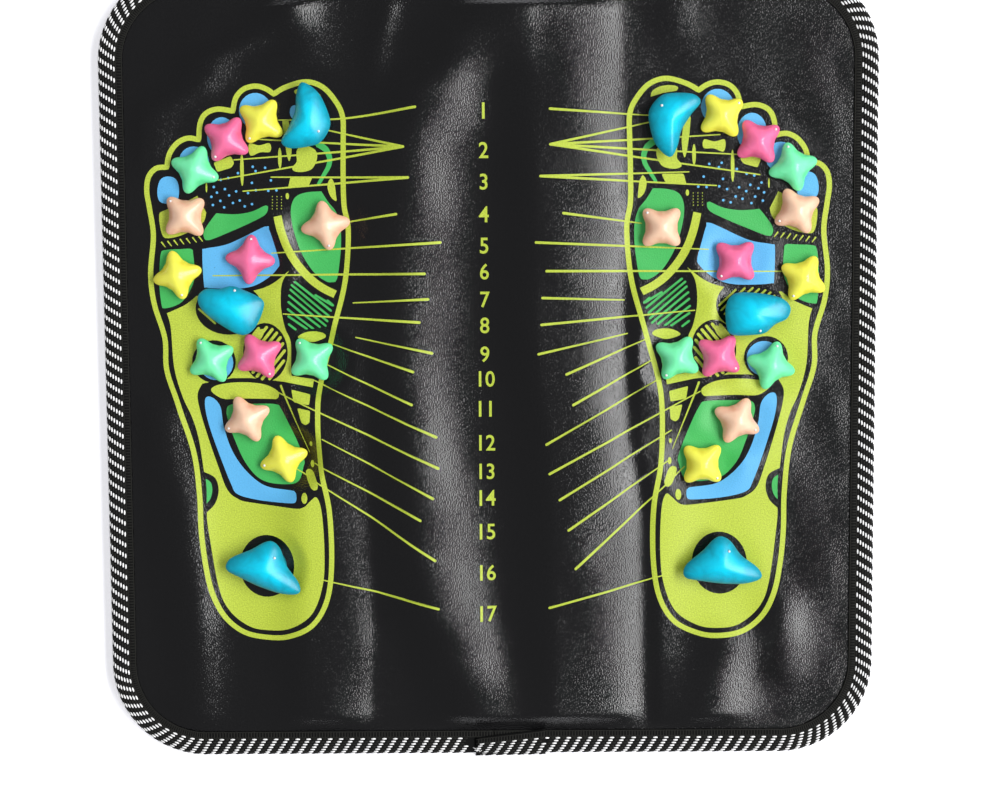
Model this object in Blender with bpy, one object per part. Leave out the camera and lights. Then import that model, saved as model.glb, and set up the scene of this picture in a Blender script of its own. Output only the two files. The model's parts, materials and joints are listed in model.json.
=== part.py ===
"""Acupressure foot mat: a padded sheet with a woven edge binding and thirty moulded stones.

The mat lies flat with its underside at z = 0, its middle at the origin, the toes towards +Y.
It folds in three, upwards, along two lines parallel to Y, so every layer is cut at those lines.
Each stone has a stem that passes through the cover and ends in a wide flattened head below it.
Lengths are in metres unless a name or comment says millimetres.
"""

import math

import bmesh
import bpy
import numpy as np
from mathutils import Matrix, Vector

MM = 0.001
SHARP_ANGLE = 35.0

# Driving sizes of the sheet
MAT_WIDTH = 0.360
MAT_LENGTH = 0.370
CORNER_RADIUS = 0.044
FOLD_OFFSET = 0.060
FOLD_GAP = 0.0005
CORNER_STEPS = 6

# Driving thicknesses, bottom to top
LAYER_GAP = 0.0003
BASE_THICKNESS = 0.0010
FOAM_THICKNESS = 0.0030
COVER_THICKNESS = 0.0010

# Woven edge binding
BINDING_THICKNESS = 0.0009
BINDING_LAP = 0.0120
BINDING_ROUND = 0.0016
RIM_SLOPE = 0.0008
LAP_START_X = -0.008
LAP_END_X = 0.025

# Stems of the stones, with the head that grips the cover from below
STEM_RADIUS = 0.0030
STEM_HEAD_RADIUS = 0.0055
STEM_HEAD_THICKNESS = 0.0012
STEM_CLEARANCE = 0.0003
POCKET_CLEARANCE = 0.0007
HOLE_SIDES = 12

# Star stone
STAR_TIP_RADIUS = 0.0113
STAR_WAIST_RADIUS = 0.0071
STAR_HEIGHT = 0.0086
STAR_ARM_SHARPNESS = 1.9
STAR_SAMPLE_ANGLES = (-10.0, 10.0, 27.0, 45.0, 63.0)

# Heights of the cyan stones and the radii of the pads they stand on
CRESCENT_HEIGHT = 0.0115
CRESCENT_PAD_RADIUS = 0.0062
PEBBLE_HEIGHT = 0.0115
PEBBLE_PAD_RADIUS = 0.0085
PEAK_HEIGHT = 0.0130
PEAK_PAD_RADIUS = 0.0095
OUTLINE_SIDES = 28
STEPS_PER_CORNER = 12

# Widest outline of each cyan stone, millimetres from its stem, anticlockwise from the top left
CRESCENT_OUTLINE = (
    (-4.9, 11.5), (-5.6, 4.0), (-8.8, -3.6), (-12.2, -9.8), (-8.5, -12.9), (-0.2, -12.3),
    (6.3, -9.9), (10.5, -2.5), (8.7, 5.6), (4.5, 13.0), (-2.3, 17.0),
)
PEBBLE_OUTLINE = (
    (-12.2, 9.0), (-15.9, 5.0), (-13.5, -1.3), (-3.5, -8.9), (4.5, -12.4), (10.2, -9.3),
    (14.4, -0.5), (13.6, 4.3), (4.8, 8.8), (-0.4, 10.3), (-6.0, 9.0),
)
PEAK_OUTLINE = (
    (-6.5, 9.3), (-15.5, 5.6), (-18.4, 2.0), (-17.6, -0.9), (-12.5, -3.7), (-2.6, -8.5),
    (8.0, -11.9), (15.6, -11.6), (15.4, -6.5), (10.0, 1.5), (7.2, 9.5), (3.5, 13.1), (-0.8, 12.4),
)

# Each section of a stone: height as a share of the whole, size as a share of the widest outline,
# and how far the section is rounded off towards a circle
STAR_SECTIONS = ((0.00, 0.86, 0.10), (0.27, 1.00, 0.00), (0.62, 0.84, 0.10), (0.88, 0.50, 0.35))
CYAN_SECTIONS = ((0.34, 0.93, 0.05), (0.48, 1.00, 0.00), (0.74, 0.84, 0.10), (0.93, 0.48, 0.30))
CYAN_PAD_HEIGHT = 0.0018

# Places of the stones in millimetres from the middle of their own side panel's free face:
# name, shape, colour, x, y and turn in degrees
LEFT_STONES = (
    ("big_toe_crescent", "crescent", "cyan", 30.8, 114.1, 0.0),
    ("second_toe_star", "star", "yellow", 9.3, 113.7, 56.0),
    ("third_toe_star", "star", "magenta", -6.9, 105.6, 58.0),
    ("fourth_toe_star", "star", "green", -21.7, 91.7, 69.0),
    ("little_toe_star", "star", "peach", -26.7, 70.4, 42.0),
    ("ball_star", "star", "peach", 38.2, 65.8, 9.5),
    ("chest_star", "star", "magenta", 3.1, 50.3, -4.5),
    ("outer_edge_star", "star", "yellow", -30.8, 43.3, 13.0),
    ("arch_pebble", "pebble", "cyan", -5.3, 27.8, 0.0),
    ("waist_outer_star", "star", "green", -15.7, 3.7, 30.0),
    ("waist_middle_star", "star", "magenta", 6.6, 5.4, 30.0),
    ("waist_inner_star", "star", "green", 31.0, 3.8, 35.0),
    ("arch_star", "star", "peach", 0.3, -24.0, 26.0),
    ("lower_arch_star", "star", "yellow", 17.2, -42.9, 17.0),
    ("heel_peak", "peak", "cyan", 8.0, -94.3, 0.0),
)
RIGHT_STONES = (
    ("big_toe_crescent", "crescent", "cyan", -30.4, 113.3, 171.0),
    ("second_toe_star", "star", "yellow", -6.7, 115.1, 36.0),
    ("third_toe_star", "star", "magenta", 10.2, 103.2, 35.0),
    ("fourth_toe_star", "star", "green", 26.2, 91.5, 15.5),
    ("little_toe_star", "star", "peach", 28.2, 71.2, 29.0),
    ("ball_star", "star", "peach", -34.4, 64.1, 45.0),
    ("chest_star", "star", "magenta", -0.2, 48.2, 46.0),
    ("outer_edge_star", "star", "yellow", 31.4, 40.2, 60.0),
    ("arch_pebble", "pebble", "cyan", 8.6, 24.2, 207.0),
    ("waist_outer_star", "star", "green", 16.7, -0.3, 74.0),
    ("waist_middle_star", "star", "magenta", -7.5, 4.2, 53.0),
    ("waist_inner_star", "star", "green", -27.0, 3.4, 57.0),
    ("arch_star", "star", "peach", 1.0, -26.0, 63.0),
    ("lower_arch_star", "star", "yellow", -15.0, -46.3, 46.0),
    ("heel_peak", "peak", "cyan", -6.1, -93.6, 18.0),
)
STONES = {"left": LEFT_STONES, "right": RIGHT_STONES}

# Heights that follow from the thicknesses
BASE_TOP = BASE_THICKNESS
RIM_LIFT = BINDING_THICKNESS + LAYER_GAP
FOAM_BOTTOM = BASE_TOP + LAYER_GAP
FOAM_TOP = FOAM_BOTTOM + FOAM_THICKNESS
COVER_BOTTOM = FOAM_TOP + LAYER_GAP
COVER_TOP = COVER_BOTTOM + COVER_THICKNESS
LIP_BOTTOM = COVER_TOP + LAYER_GAP
LIP_TOP = LIP_BOTTOM + BINDING_THICKNESS
STONE_BOTTOM = COVER_TOP + LAYER_GAP
HEAD_TOP = COVER_BOTTOM - LAYER_GAP

# Distances in from the outer edge of the binding
LAYER_INSET = BINDING_ROUND + BINDING_THICKNESS / 2 + LAYER_GAP
BASE_STEP_INSET = BINDING_LAP + LAYER_GAP

# Base colours as linear red, green and blue, with roughness
FINISHES = {
    "cover": ((0.012, 0.012, 0.012), 0.45),
    "foam": ((0.05, 0.05, 0.055), 0.95),
    "base": ((0.02, 0.02, 0.022), 0.85),
    "binding": ((0.015, 0.015, 0.015), 0.80),
    "yellow": ((0.85, 0.80, 0.06), 0.20),
    "magenta": ((0.70, 0.09, 0.22), 0.20),
    "green": ((0.13, 0.72, 0.33), 0.20),
    "peach": ((0.85, 0.45, 0.30), 0.20),
    "cyan": ((0.00, 0.55, 0.80), 0.20),
}


def clear_scene():
    for obj in list(bpy.data.objects):
        bpy.data.objects.remove(obj)


def new_collection(name):
    collection = bpy.data.collections.new(name)
    bpy.context.scene.collection.children.link(collection)
    return collection


def finish(node, kind):
    """A plain material of the sub-part's own, in the colour of its kind."""
    colour, roughness = FINISHES[kind]
    material = bpy.data.materials.new(f"{node}_{kind}")
    material.use_nodes = True
    shader = material.node_tree.nodes["Principled BSDF"]
    shader.inputs["Base Color"].default_value = (*colour, 1.0)
    shader.inputs["Roughness"].default_value = roughness
    shader.inputs["Metallic"].default_value = 0.0
    return material


def add_object(bm, name, kind, collection):
    """Turns the bmesh into a named object with smooth faces and sharp edges."""
    bmesh.ops.recalc_face_normals(bm, faces=bm.faces)
    mesh = bpy.data.meshes.new(name)
    bm.to_mesh(mesh)
    bm.free()
    mesh.shade_smooth()
    mesh.set_sharp_from_angle(angle=math.radians(SHARP_ANGLE))
    obj = bpy.data.objects.new(name, mesh)
    obj.data.materials.append(finish(name, kind))
    collection.objects.link(obj)
    return obj


def skin(bm, rings, wrap=False):
    """Joins rings of equal length with faces, and closes both ends unless the rings wrap."""
    rows = [[bm.verts.new(point) for point in ring] for ring in rings]
    pairs = list(zip(rows, rows[1:]))
    if wrap:
        pairs.append((rows[-1], rows[0]))
    for lower, upper in pairs:
        for i in range(len(lower)):
            j = (i + 1) % len(lower)
            bm.faces.new((lower[i], lower[j], upper[j], upper[i]))
    if not wrap:
        bm.faces.new(list(reversed(rows[0])))
        bm.faces.new(rows[-1])
    return rows


def arc(centre, radius, start, end):
    """Points of a corner from one angle in degrees to another."""
    angles = [math.radians(start + (end - start) * i / CORNER_STEPS) for i in range(CORNER_STEPS + 1)]
    return [(centre[0] + radius * math.cos(a), centre[1] + radius * math.sin(a)) for a in angles]


def sheet_edge(inset):
    """Outline of the whole sheet, a rounded rectangle, at a distance in from the binding's edge."""
    x = MAT_WIDTH / 2 - CORNER_RADIUS
    y = MAT_LENGTH / 2 - CORNER_RADIUS
    radius = CORNER_RADIUS - inset
    corners = ((x, y, 0), (-x, y, 90), (-x, -y, 180), (x, -y, 270))
    return [point for cx, cy, start in corners for point in arc((cx, cy), radius, start, start + 90)]


def sheet_ring(inset, z):
    return [(x, y, z) for x, y in sheet_edge(inset)]


def trim(bm, point, outward):
    """Cuts the body off flat at a plane and closes the cut."""
    geometry = list(bm.verts) + list(bm.edges) + list(bm.faces)
    result = bmesh.ops.bisect_plane(bm, geom=geometry, plane_co=point, plane_no=outward, clear_outer=True)
    edges = [item for item in result["geom_cut"] if isinstance(item, bmesh.types.BMEdge)]
    bmesh.ops.holes_fill(bm, edges=edges, sides=0)


def trim_to_panel(bm, panel):
    """Keeps the stretch of a whole layer that belongs to one of the three panels."""
    inside = FOLD_OFFSET - FOLD_GAP / 2
    outside = FOLD_OFFSET + FOLD_GAP / 2
    if panel == "left":
        trim(bm, (-outside, 0, 0), (1, 0, 0))
    elif panel == "right":
        trim(bm, (outside, 0, 0), (-1, 0, 0))
    else:
        trim(bm, (-inside, 0, 0), (-1, 0, 0))
        trim(bm, (inside, 0, 0), (1, 0, 0))


def foot_centre(side):
    """Middle of a side panel's free face, between the fold and the inner edge of the binding."""
    middle = (FOLD_OFFSET + MAT_WIDTH / 2 - BINDING_LAP) / 2
    return -middle if side == "left" else middle


def stone_place(side, stone):
    return foot_centre(side) + stone[3] * MM, stone[4] * MM


def hole_cutter(side, kind, radius, cutters):
    """One upright cylinder through the layers at each stem of a side panel."""
    bm = bmesh.new()
    depth = 4 * LIP_TOP
    for stone in STONES[side]:
        x, y = stone_place(side, stone)
        bmesh.ops.create_cone(
            bm,
            cap_ends=True,
            segments=HOLE_SIDES,
            radius1=radius / math.cos(math.pi / HOLE_SIDES),
            radius2=radius / math.cos(math.pi / HOLE_SIDES),
            depth=depth,
            matrix=Matrix.Translation((x, y, LIP_TOP / 2)),
        )
    cutter = add_object(bm, f"{kind}_cutter_{side}", "foam", cutters)
    cutter.hide_render = True
    cutter.display_type = "WIRE"
    return cutter


def cut(obj, cutter):
    modifier = obj.modifiers.new("stem_holes", "BOOLEAN")
    modifier.operation = "DIFFERENCE"
    modifier.solver = "EXACT"
    modifier.object = cutter


def make_base_sheet(panel, parts):
    """Backing sheet: its rim is stepped up by the binding that is folded under it."""
    sections = (
        (BASE_STEP_INSET, 0.0),
        (BASE_STEP_INSET, RIM_LIFT),
        (LAYER_INSET, RIM_LIFT),
        (LAYER_INSET, RIM_LIFT + BASE_THICKNESS),
        (BASE_STEP_INSET + LAYER_GAP, RIM_LIFT + BASE_THICKNESS),
        (BASE_STEP_INSET + LAYER_GAP + RIM_SLOPE, BASE_TOP),
    )
    bm = bmesh.new()
    skin(bm, [sheet_ring(inset, z) for inset, z in sections])
    trim_to_panel(bm, panel)
    return add_object(bm, f"base_sheet_{panel}", "base", parts)


def make_foam_core(panel, parts):
    """Padding between the backing and the cover, thinner where the edge is sewn down."""
    step = BASE_STEP_INSET + 2 * LAYER_GAP
    sections = (
        (step + RIM_SLOPE, FOAM_BOTTOM),
        (step, RIM_LIFT + BASE_THICKNESS + LAYER_GAP),
        (LAYER_INSET, RIM_LIFT + BASE_THICKNESS + LAYER_GAP),
        (LAYER_INSET, FOAM_TOP),
    )
    bm = bmesh.new()
    skin(bm, [sheet_ring(inset, z) for inset, z in sections])
    trim_to_panel(bm, panel)
    return add_object(bm, f"foam_core_{panel}", "foam", parts)


def make_top_cover(panel, parts):
    bm = bmesh.new()
    skin(bm, [sheet_ring(LAYER_INSET, z) for z in (COVER_BOTTOM, COVER_TOP)])
    trim_to_panel(bm, panel)
    return add_object(bm, f"top_cover_{panel}", "cover", parts)


def binding_profile():
    """Section of the folded tape as (distance in from the edge, height), closed."""
    t = BINDING_THICKNESS
    r = BINDING_ROUND
    half_round = [(r * (1 - math.sin(a)), r * (1 - math.cos(a))) for a in (0.0, math.pi / 4, math.pi / 2)]
    outside = [(BINDING_LAP, 0.0)] + half_round
    outside += [(inset, LIP_TOP - z) for inset, z in reversed(half_round)] + [(BINDING_LAP, LIP_TOP)]
    inside = [(BINDING_LAP, LIP_BOTTOM), (r + t / 2, LIP_BOTTOM), (t, LIP_BOTTOM - r / 2)]
    inside += [(t, t + r / 2), (r + t / 2, t), (BINDING_LAP, t)]
    return outside + inside


def make_binding(name, panel, parts):
    """One stretch of the folded tape: a side panel's whole edge, or an end of the middle panel."""
    profile = binding_profile()
    paths = {inset: sheet_edge(inset) for inset, _ in profile}
    stations = len(paths[BINDING_LAP])
    bm = bmesh.new()
    skin(bm, [[(*paths[inset][i], z) for inset, z in profile] for i in range(stations)], wrap=True)
    trim_to_panel(bm, panel)
    if name == "toe_end":
        trim(bm, (0, 0, 0), (0, -1, 0))
    elif name == "heel_end":
        trim(bm, (0, 0, 0), (0, 1, 0))
    return add_object(bm, f"edge_binding_{name}", "binding", parts)


def make_lap_end(parts):
    """The end of the tape, laid over its own start at the middle of the heel edge."""
    bottom = LIP_TOP + LAYER_GAP
    top = bottom + BINDING_THICKNESS
    inner_y = -(MAT_LENGTH / 2 - BINDING_LAP)
    outer_y = -(MAT_LENGTH / 2 - BINDING_ROUND)
    length = LAP_END_X - LAP_START_X
    bm = bmesh.new()
    bmesh.ops.create_cube(bm, size=1.0)
    bmesh.ops.scale(bm, vec=Vector((length, inner_y - outer_y, top - bottom)), verts=bm.verts)
    middle = Vector(((LAP_START_X + LAP_END_X) / 2, (inner_y + outer_y) / 2, (bottom + top) / 2))
    bmesh.ops.translate(bm, vec=middle, verts=bm.verts)
    upright = [e for e in bm.edges if abs(e.verts[0].co.z - e.verts[1].co.z) > BINDING_THICKNESS / 2]
    bmesh.ops.bevel(bm, geom=upright, offset=BINDING_ROUND, segments=2, affect="EDGES", profile=0.5)
    return add_object(bm, "binding_lap_end", "binding", parts)


def star_outline():
    """Angles and radii of the four-armed star, with two points across each blunt tip."""
    angles = [math.radians(quarter + a) for quarter in (0, 90, 180, 270) for a in STAR_SAMPLE_ANGLES]
    reach = STAR_TIP_RADIUS - STAR_WAIST_RADIUS
    swell = [((1 + math.cos(4 * a)) / 2) ** STAR_ARM_SHARPNESS for a in angles]
    return angles, [STAR_WAIST_RADIUS + reach * s for s in swell]


def smooth_outline(points):
    """Angles and radii, evenly spaced round the stem, of a closed curve through points in millimetres."""
    corners = np.array(points) * MM
    steps = np.linspace(0, 1, STEPS_PER_CORNER, endpoint=False)[:, None]
    stretches = []
    for i in range(len(corners)):
        before, here, after, beyond = (corners[(i + k) % len(corners)] for k in (-1, 0, 1, 2))
        slope = (after - before) / 2
        bend = before - 2.5 * here + 2 * after - beyond / 2
        twist = (beyond - before) / 2 + 1.5 * (here - after)
        stretches.append(here + slope * steps + bend * steps**2 + twist * steps**3)
    curve = np.concatenate(stretches)
    turn = np.arctan2(curve[:, 1], curve[:, 0])
    order = np.argsort(turn)
    angles = np.linspace(-math.pi, math.pi, OUTLINE_SIDES, endpoint=False)
    radii = np.interp(angles, turn[order], np.hypot(*curve.T)[order], period=2 * math.pi)
    return list(angles), list(radii)


def section_ring(angles, radii, size, rounding, z):
    middle = sum(radii) / len(radii)
    mixed = [size * (r + (middle - r) * rounding) for r in radii]
    return [(r * math.cos(a), r * math.sin(a), z) for a, r in zip(angles, mixed)]


def stem_rings(angles):
    """Flattened head and shank below the stone, with half as many sides as the stone."""
    every_other = angles[::2]
    levels = (
        (STEM_HEAD_RADIUS, HEAD_TOP - STEM_HEAD_THICKNESS),
        (STEM_HEAD_RADIUS, HEAD_TOP),
        (STEM_RADIUS, HEAD_TOP),
        (STEM_RADIUS, STONE_BOTTOM),
    )
    return [[(r * math.cos(a), r * math.sin(a), z) for a in every_other] for r, z in levels]


def build_stone(bm, angles, rings, height):
    """One closed body: stem, underside, sections of the stone, and the crown."""
    stem = [[bm.verts.new(point) for point in ring] for ring in stem_rings(angles)]
    body = [[bm.verts.new(point) for point in ring] for ring in rings]
    crown = bm.verts.new((0.0, 0.0, STONE_BOTTOM + height))
    for rows in (stem, body):
        for lower, upper in zip(rows, rows[1:]):
            for i in range(len(lower)):
                j = (i + 1) % len(lower)
                bm.faces.new((lower[i], lower[j], upper[j], upper[i]))
    bm.faces.new(list(reversed(stem[0])))
    for i in range(len(stem[-1])):
        j = (i + 1) % len(stem[-1])
        outer = [body[0][(2 * i + k) % len(body[0])] for k in (0, 1, 2)]
        bm.faces.new((stem[-1][i], stem[-1][j], outer[2], outer[1], outer[0]))
    for i in range(len(body[-1])):
        bm.faces.new((body[-1][i], body[-1][(i + 1) % len(body[-1])], crown))


def star_mesh(bm):
    angles, radii = star_outline()
    rings = [
        section_ring(angles, radii, size, rounding, STONE_BOTTOM + share * STAR_HEIGHT)
        for share, size, rounding in STAR_SECTIONS
    ]
    build_stone(bm, angles, rings, STAR_HEIGHT)


def cyan_mesh(bm, outline, height, pad_radius):
    """A larger stone that overhangs the round pad it stands on."""
    angles, radii = smooth_outline(outline)
    circle = [pad_radius] * len(angles)
    pad_levels = (STONE_BOTTOM, STONE_BOTTOM + CYAN_PAD_HEIGHT)
    pad = [section_ring(angles, circle, 1.0, 0.0, z) for z in pad_levels]
    rings = [
        section_ring(angles, radii, size, rounding, STONE_BOTTOM + share * height)
        for share, size, rounding in CYAN_SECTIONS
    ]
    build_stone(bm, angles, pad + rings, height)


def make_stone(side, stone, parts):
    name, shape, colour, _, _, turn = stone
    bm = bmesh.new()
    if shape == "star":
        star_mesh(bm)
    elif shape == "crescent":
        cyan_mesh(bm, CRESCENT_OUTLINE, CRESCENT_HEIGHT, CRESCENT_PAD_RADIUS)
    elif shape == "pebble":
        cyan_mesh(bm, PEBBLE_OUTLINE, PEBBLE_HEIGHT, PEBBLE_PAD_RADIUS)
    else:
        cyan_mesh(bm, PEAK_OUTLINE, PEAK_HEIGHT, PEAK_PAD_RADIUS)
    obj = add_object(bm, f"{side}_{name}", colour, parts)
    obj.location = (*stone_place(side, stone), 0.0)
    obj.rotation_euler = (0.0, 0.0, math.radians(turn))
    return obj


def main():
    clear_scene()
    parts = new_collection("acupressure_foot_mat")
    cutters = new_collection("cutters")
    for panel in ("left", "middle", "right"):
        make_base_sheet(panel, parts)
        foam = make_foam_core(panel, parts)
        cover = make_top_cover(panel, parts)
        if panel != "middle":
            cut(foam, hole_cutter(panel, "pocket", STEM_HEAD_RADIUS + POCKET_CLEARANCE, cutters))
            cut(cover, hole_cutter(panel, "stem", STEM_RADIUS + STEM_CLEARANCE, cutters))
    make_binding("left", "left", parts)
    make_binding("right", "right", parts)
    make_binding("toe_end", "middle", parts)
    make_binding("heel_end", "middle", parts)
    make_lap_end(parts)
    for side, stones in STONES.items():
        for stone in stones:
            make_stone(side, stone, parts)


main()
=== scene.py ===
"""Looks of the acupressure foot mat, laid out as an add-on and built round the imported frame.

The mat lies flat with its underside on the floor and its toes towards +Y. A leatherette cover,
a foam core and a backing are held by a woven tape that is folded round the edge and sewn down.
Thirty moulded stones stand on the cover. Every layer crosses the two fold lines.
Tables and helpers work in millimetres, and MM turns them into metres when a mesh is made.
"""

import json
import math
import random

import bpy
import numpy as np
from bpy.props import FloatProperty, FloatVectorProperty, IntProperty, PointerProperty
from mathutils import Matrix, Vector
from mathutils.geometry import delaunay_2d_cdt


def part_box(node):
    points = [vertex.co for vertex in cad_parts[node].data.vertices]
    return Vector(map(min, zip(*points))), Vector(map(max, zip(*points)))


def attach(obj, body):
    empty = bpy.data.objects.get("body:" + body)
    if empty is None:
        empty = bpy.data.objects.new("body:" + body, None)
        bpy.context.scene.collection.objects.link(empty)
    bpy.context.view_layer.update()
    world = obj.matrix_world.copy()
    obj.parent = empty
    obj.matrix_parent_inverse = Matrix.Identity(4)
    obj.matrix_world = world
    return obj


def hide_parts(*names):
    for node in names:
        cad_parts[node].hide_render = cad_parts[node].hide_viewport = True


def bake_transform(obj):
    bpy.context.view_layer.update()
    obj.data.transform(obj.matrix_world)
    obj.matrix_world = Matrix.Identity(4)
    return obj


bl_info = {
    "name": "Acupressure Foot Mat",
    "version": (1, 0, 0),
    "blender": (4, 5, 0),
    "location": "3D View > Sidebar > Foot Mat",
    "description": "Dresses a folding foot mat with its cover, binding and stones",
    "category": "Object",
}

MM = 0.001

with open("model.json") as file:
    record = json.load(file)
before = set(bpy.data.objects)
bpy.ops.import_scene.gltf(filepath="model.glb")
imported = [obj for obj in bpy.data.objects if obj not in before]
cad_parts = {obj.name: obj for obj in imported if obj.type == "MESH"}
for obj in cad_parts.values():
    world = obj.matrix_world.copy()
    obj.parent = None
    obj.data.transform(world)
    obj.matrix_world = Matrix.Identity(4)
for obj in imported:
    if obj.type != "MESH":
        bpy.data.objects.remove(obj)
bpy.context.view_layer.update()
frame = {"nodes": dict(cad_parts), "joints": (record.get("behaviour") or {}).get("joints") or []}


def box_mm(node):
    """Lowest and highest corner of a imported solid, in millimetres."""
    return [np.array(corner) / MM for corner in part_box(node)]


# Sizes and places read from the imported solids
EDGE_X = box_mm("edge_binding_right")[1][0]
EDGE_Y = box_mm("edge_binding_toe_end")[1][1]
COVER_Z = box_mm("top_cover_middle")[1][2]
COVER_THICKNESS = COVER_Z - box_mm("top_cover_middle")[0][2]
FOAM_LOW, FOAM_HIGH = (corner[2] for corner in box_mm("foam_core_middle"))
BINDING_Z = box_mm("edge_binding_toe_end")[1][2]
LAP_LOW, LAP_HIGH = box_mm("binding_lap_end")
LAYER_EDGE = EDGE_X - box_mm("top_cover_right")[1][0]
FOLD_X = abs(frame["joints"][0]["pos_m"][0]) / MM

# How far the lines along a fold reach towards the middle and towards the edge, and how many lines there are
BEND_INNER = 6.0
BEND_OUTER = 5.0
FOLD_LINES = 8

# Outline of the whole mat, and the steps along its rim and its middle line
CORNER_RADIUS = 44.0
RIM_STEP = 3.0
MIDDLE_LINE_STEP = 2.4

# Triangles of the layers: their size, the height of a row and the room left at the rim as shares
# of it, the distance at which corners are joined, and the step over which a slope is measured
COVER_GRID = 2.4
INNER_GRID = 9.0
GRID_ROW = 0.866
GRID_MARGIN = 0.45
WELD_DISTANCE = 1e-4
SLOPE_STEP = 0.05

# How far the cover is lifted to meet the stones, and the gaps round their stems and heads
COVER_LIFT = 0.22
STEM_GAP = 0.3
HEAD_GAP = 0.7

# Waves in the cover: height, width left and right of the crest, whether the right flank ends in a
# crease, and crest points as x, y, share of height
WAVES = (
    (7.6, 17.0, 23.0, False, ((0, 185, 0.9), (-2, 164, 0.9), (-12, 148, 0.9), (-30, 125, 1.0),
        (-39, 95, 0.9), (-44, 30, 0.75), (-41, -26, 0.9), (-34, -83, 1.0), (-29, -111, 0.95),
        (-19, -135, 0.9), (-8, -160, 0.8), (-4, -185, 0.8))),
    (7.1, 17.0, 40.0, True, ((20, 185, 0.85), (21, 160, 0.85), (22, 125, 0.75), (23, 90, 0.85),
        (23, 30, 1.0), (24, 0, 1.0), (29.5, -40, 1.0), (30.5, -83, 0.9), (31.5, -111, 0.85),
        (31.5, -185, 0.85))),
    (2.4, 5.0, 15.0, False, ((70, 60, 0.0), (70, 20, 1.0), (71, -30, 0.9), (79, -75, 0.7),
        (81, -185, 0.7))),
    (5.2, 14.0, 29.0, True, ((-86, 40, 0.0), (-86, 15, 0.8), (-86, -20, 1.0), (-85, -70, 1.0),
        (-84, -100, 0.8), (-86, -160, 0.8), (-86, -185, 0.8))),
    (4.2, 12.0, 12.0, False, ((-92, 185, 1.0), (-91, 168, 1.0), (-86, 146, 0.4), (-80, 132, 0.0))),
    (4.4, 12.0, 12.0, False, ((-158, -10, 0.0), (-154, -26, 0.7), (-145, -80, 1.0),
        (-141, -111, 1.0), (-140, -140, 0.6), (-142, -185, 0.5))),
    (3.6, 11.0, 11.0, False, ((-104, 82, 0.0), (-101, 62, 1.0), (-99, 45, 1.0), (-97, 30, 0.0))),
    (2.6, 11.0, 11.0, False, ((136, -95, 0.0), (137, -120, 1.0), (138, -140, 0.6),
        (140, -160, 0.0))),
    (3.6, 14.0, 26.0, False, ((106, 75, 0.0), (106, 45, 0.9), (108, 0, 1.0), (106, -40, 0.9),
        (102, -70, 0.0))),
    (4.0, 15.0, 15.0, False, ((116, -115, 0.0), (111, -132, 0.8), (105, -150, 1.0),
        (102, -185, 1.0))),
    (2.6, 13.0, 13.0, False, ((-76, 176, 0.5), (-100, 160, 0.8), (-130, 138, 1.0), (-157, 112, 0.8),
        (-164, 80, 0.0))),
    (1.6, 6.0, 6.0, False, ((-43, 185, 1.0), (-46, 170, 1.0), (-52, 140, 0.6), (-55, 118, 0.0))),
    (1.5, 10.0, 10.0, False, ((86, 185, 0.6), (86, 160, 0.5), (84, 140, 0.0))),
)
# Form of a creased flank, flat ground round the stones and at the edge, and small ripples all over
CREASE_SOFTNESS = 0.24
CREASE_STEEPNESS = 2.6
STONE_FLAT_RADIUS = 10.0
STONE_FLAT_FADE = 11.0
EDGE_FLAT = 11.0
EDGE_FADE = 10.0
RIPPLE_HEIGHT = 0.08
RIPPLE_LENGTH = 26.0
RIPPLE_COUNT = 7
RIPPLE_SEED = 4
RIPPLE_PHASE = 6.28
RIPPLE_SPREAD = (0.7, 1.6)

# Print: points are millimetres out from the mat's middle line and towards the toes.
# A smooth outline turns sharply where a point is given twice, and larger discs have more corners.
DISC_CORNERS = 9.0
SOLE_LINE_WIDTH = 2.4
SOLE_LINE = (
    (65.5, 63), (67.3, 75), (67.5, 90), (67.3, 104), (67.5, 116), (71.3, 123.8), (77, 129.6),
    (84.5, 131.7), (93.5, 129.3), (99, 126.2), (99, 126.2), (102.7, 128.7), (107.5, 129.9),
    (113, 128.5), (116.6, 124.5), (118, 118.5), (118, 118.5), (125, 119.5), (130.5, 117.5),
    (133.2, 113), (134, 105.5), (134, 105.5), (139, 106.3), (144, 104), (147.7, 99), (149, 93),
    (149, 93), (154, 92.5), (157.6, 88.5), (158.6, 82), (157.5, 74), (156, 61.5), (157.6, 44),
    (156.3, 30), (151.7, 14), (151.1, -1), (146, -17.5), (139.2, -39.5), (136.7, -60), (136.1, -78),
    (134.2, -94.5), (131.2, -107.5), (125.6, -118.5), (117, -125.6), (106, -128), (95.5, -127.2),
    (84.2, -121.4), (77.4, -109.5), (75, -91.5), (75.8, -67), (79.5, -46.5), (80.5, -23), (79, -6.5),
    (73, 16.5), (67.2, 40),
)
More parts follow.
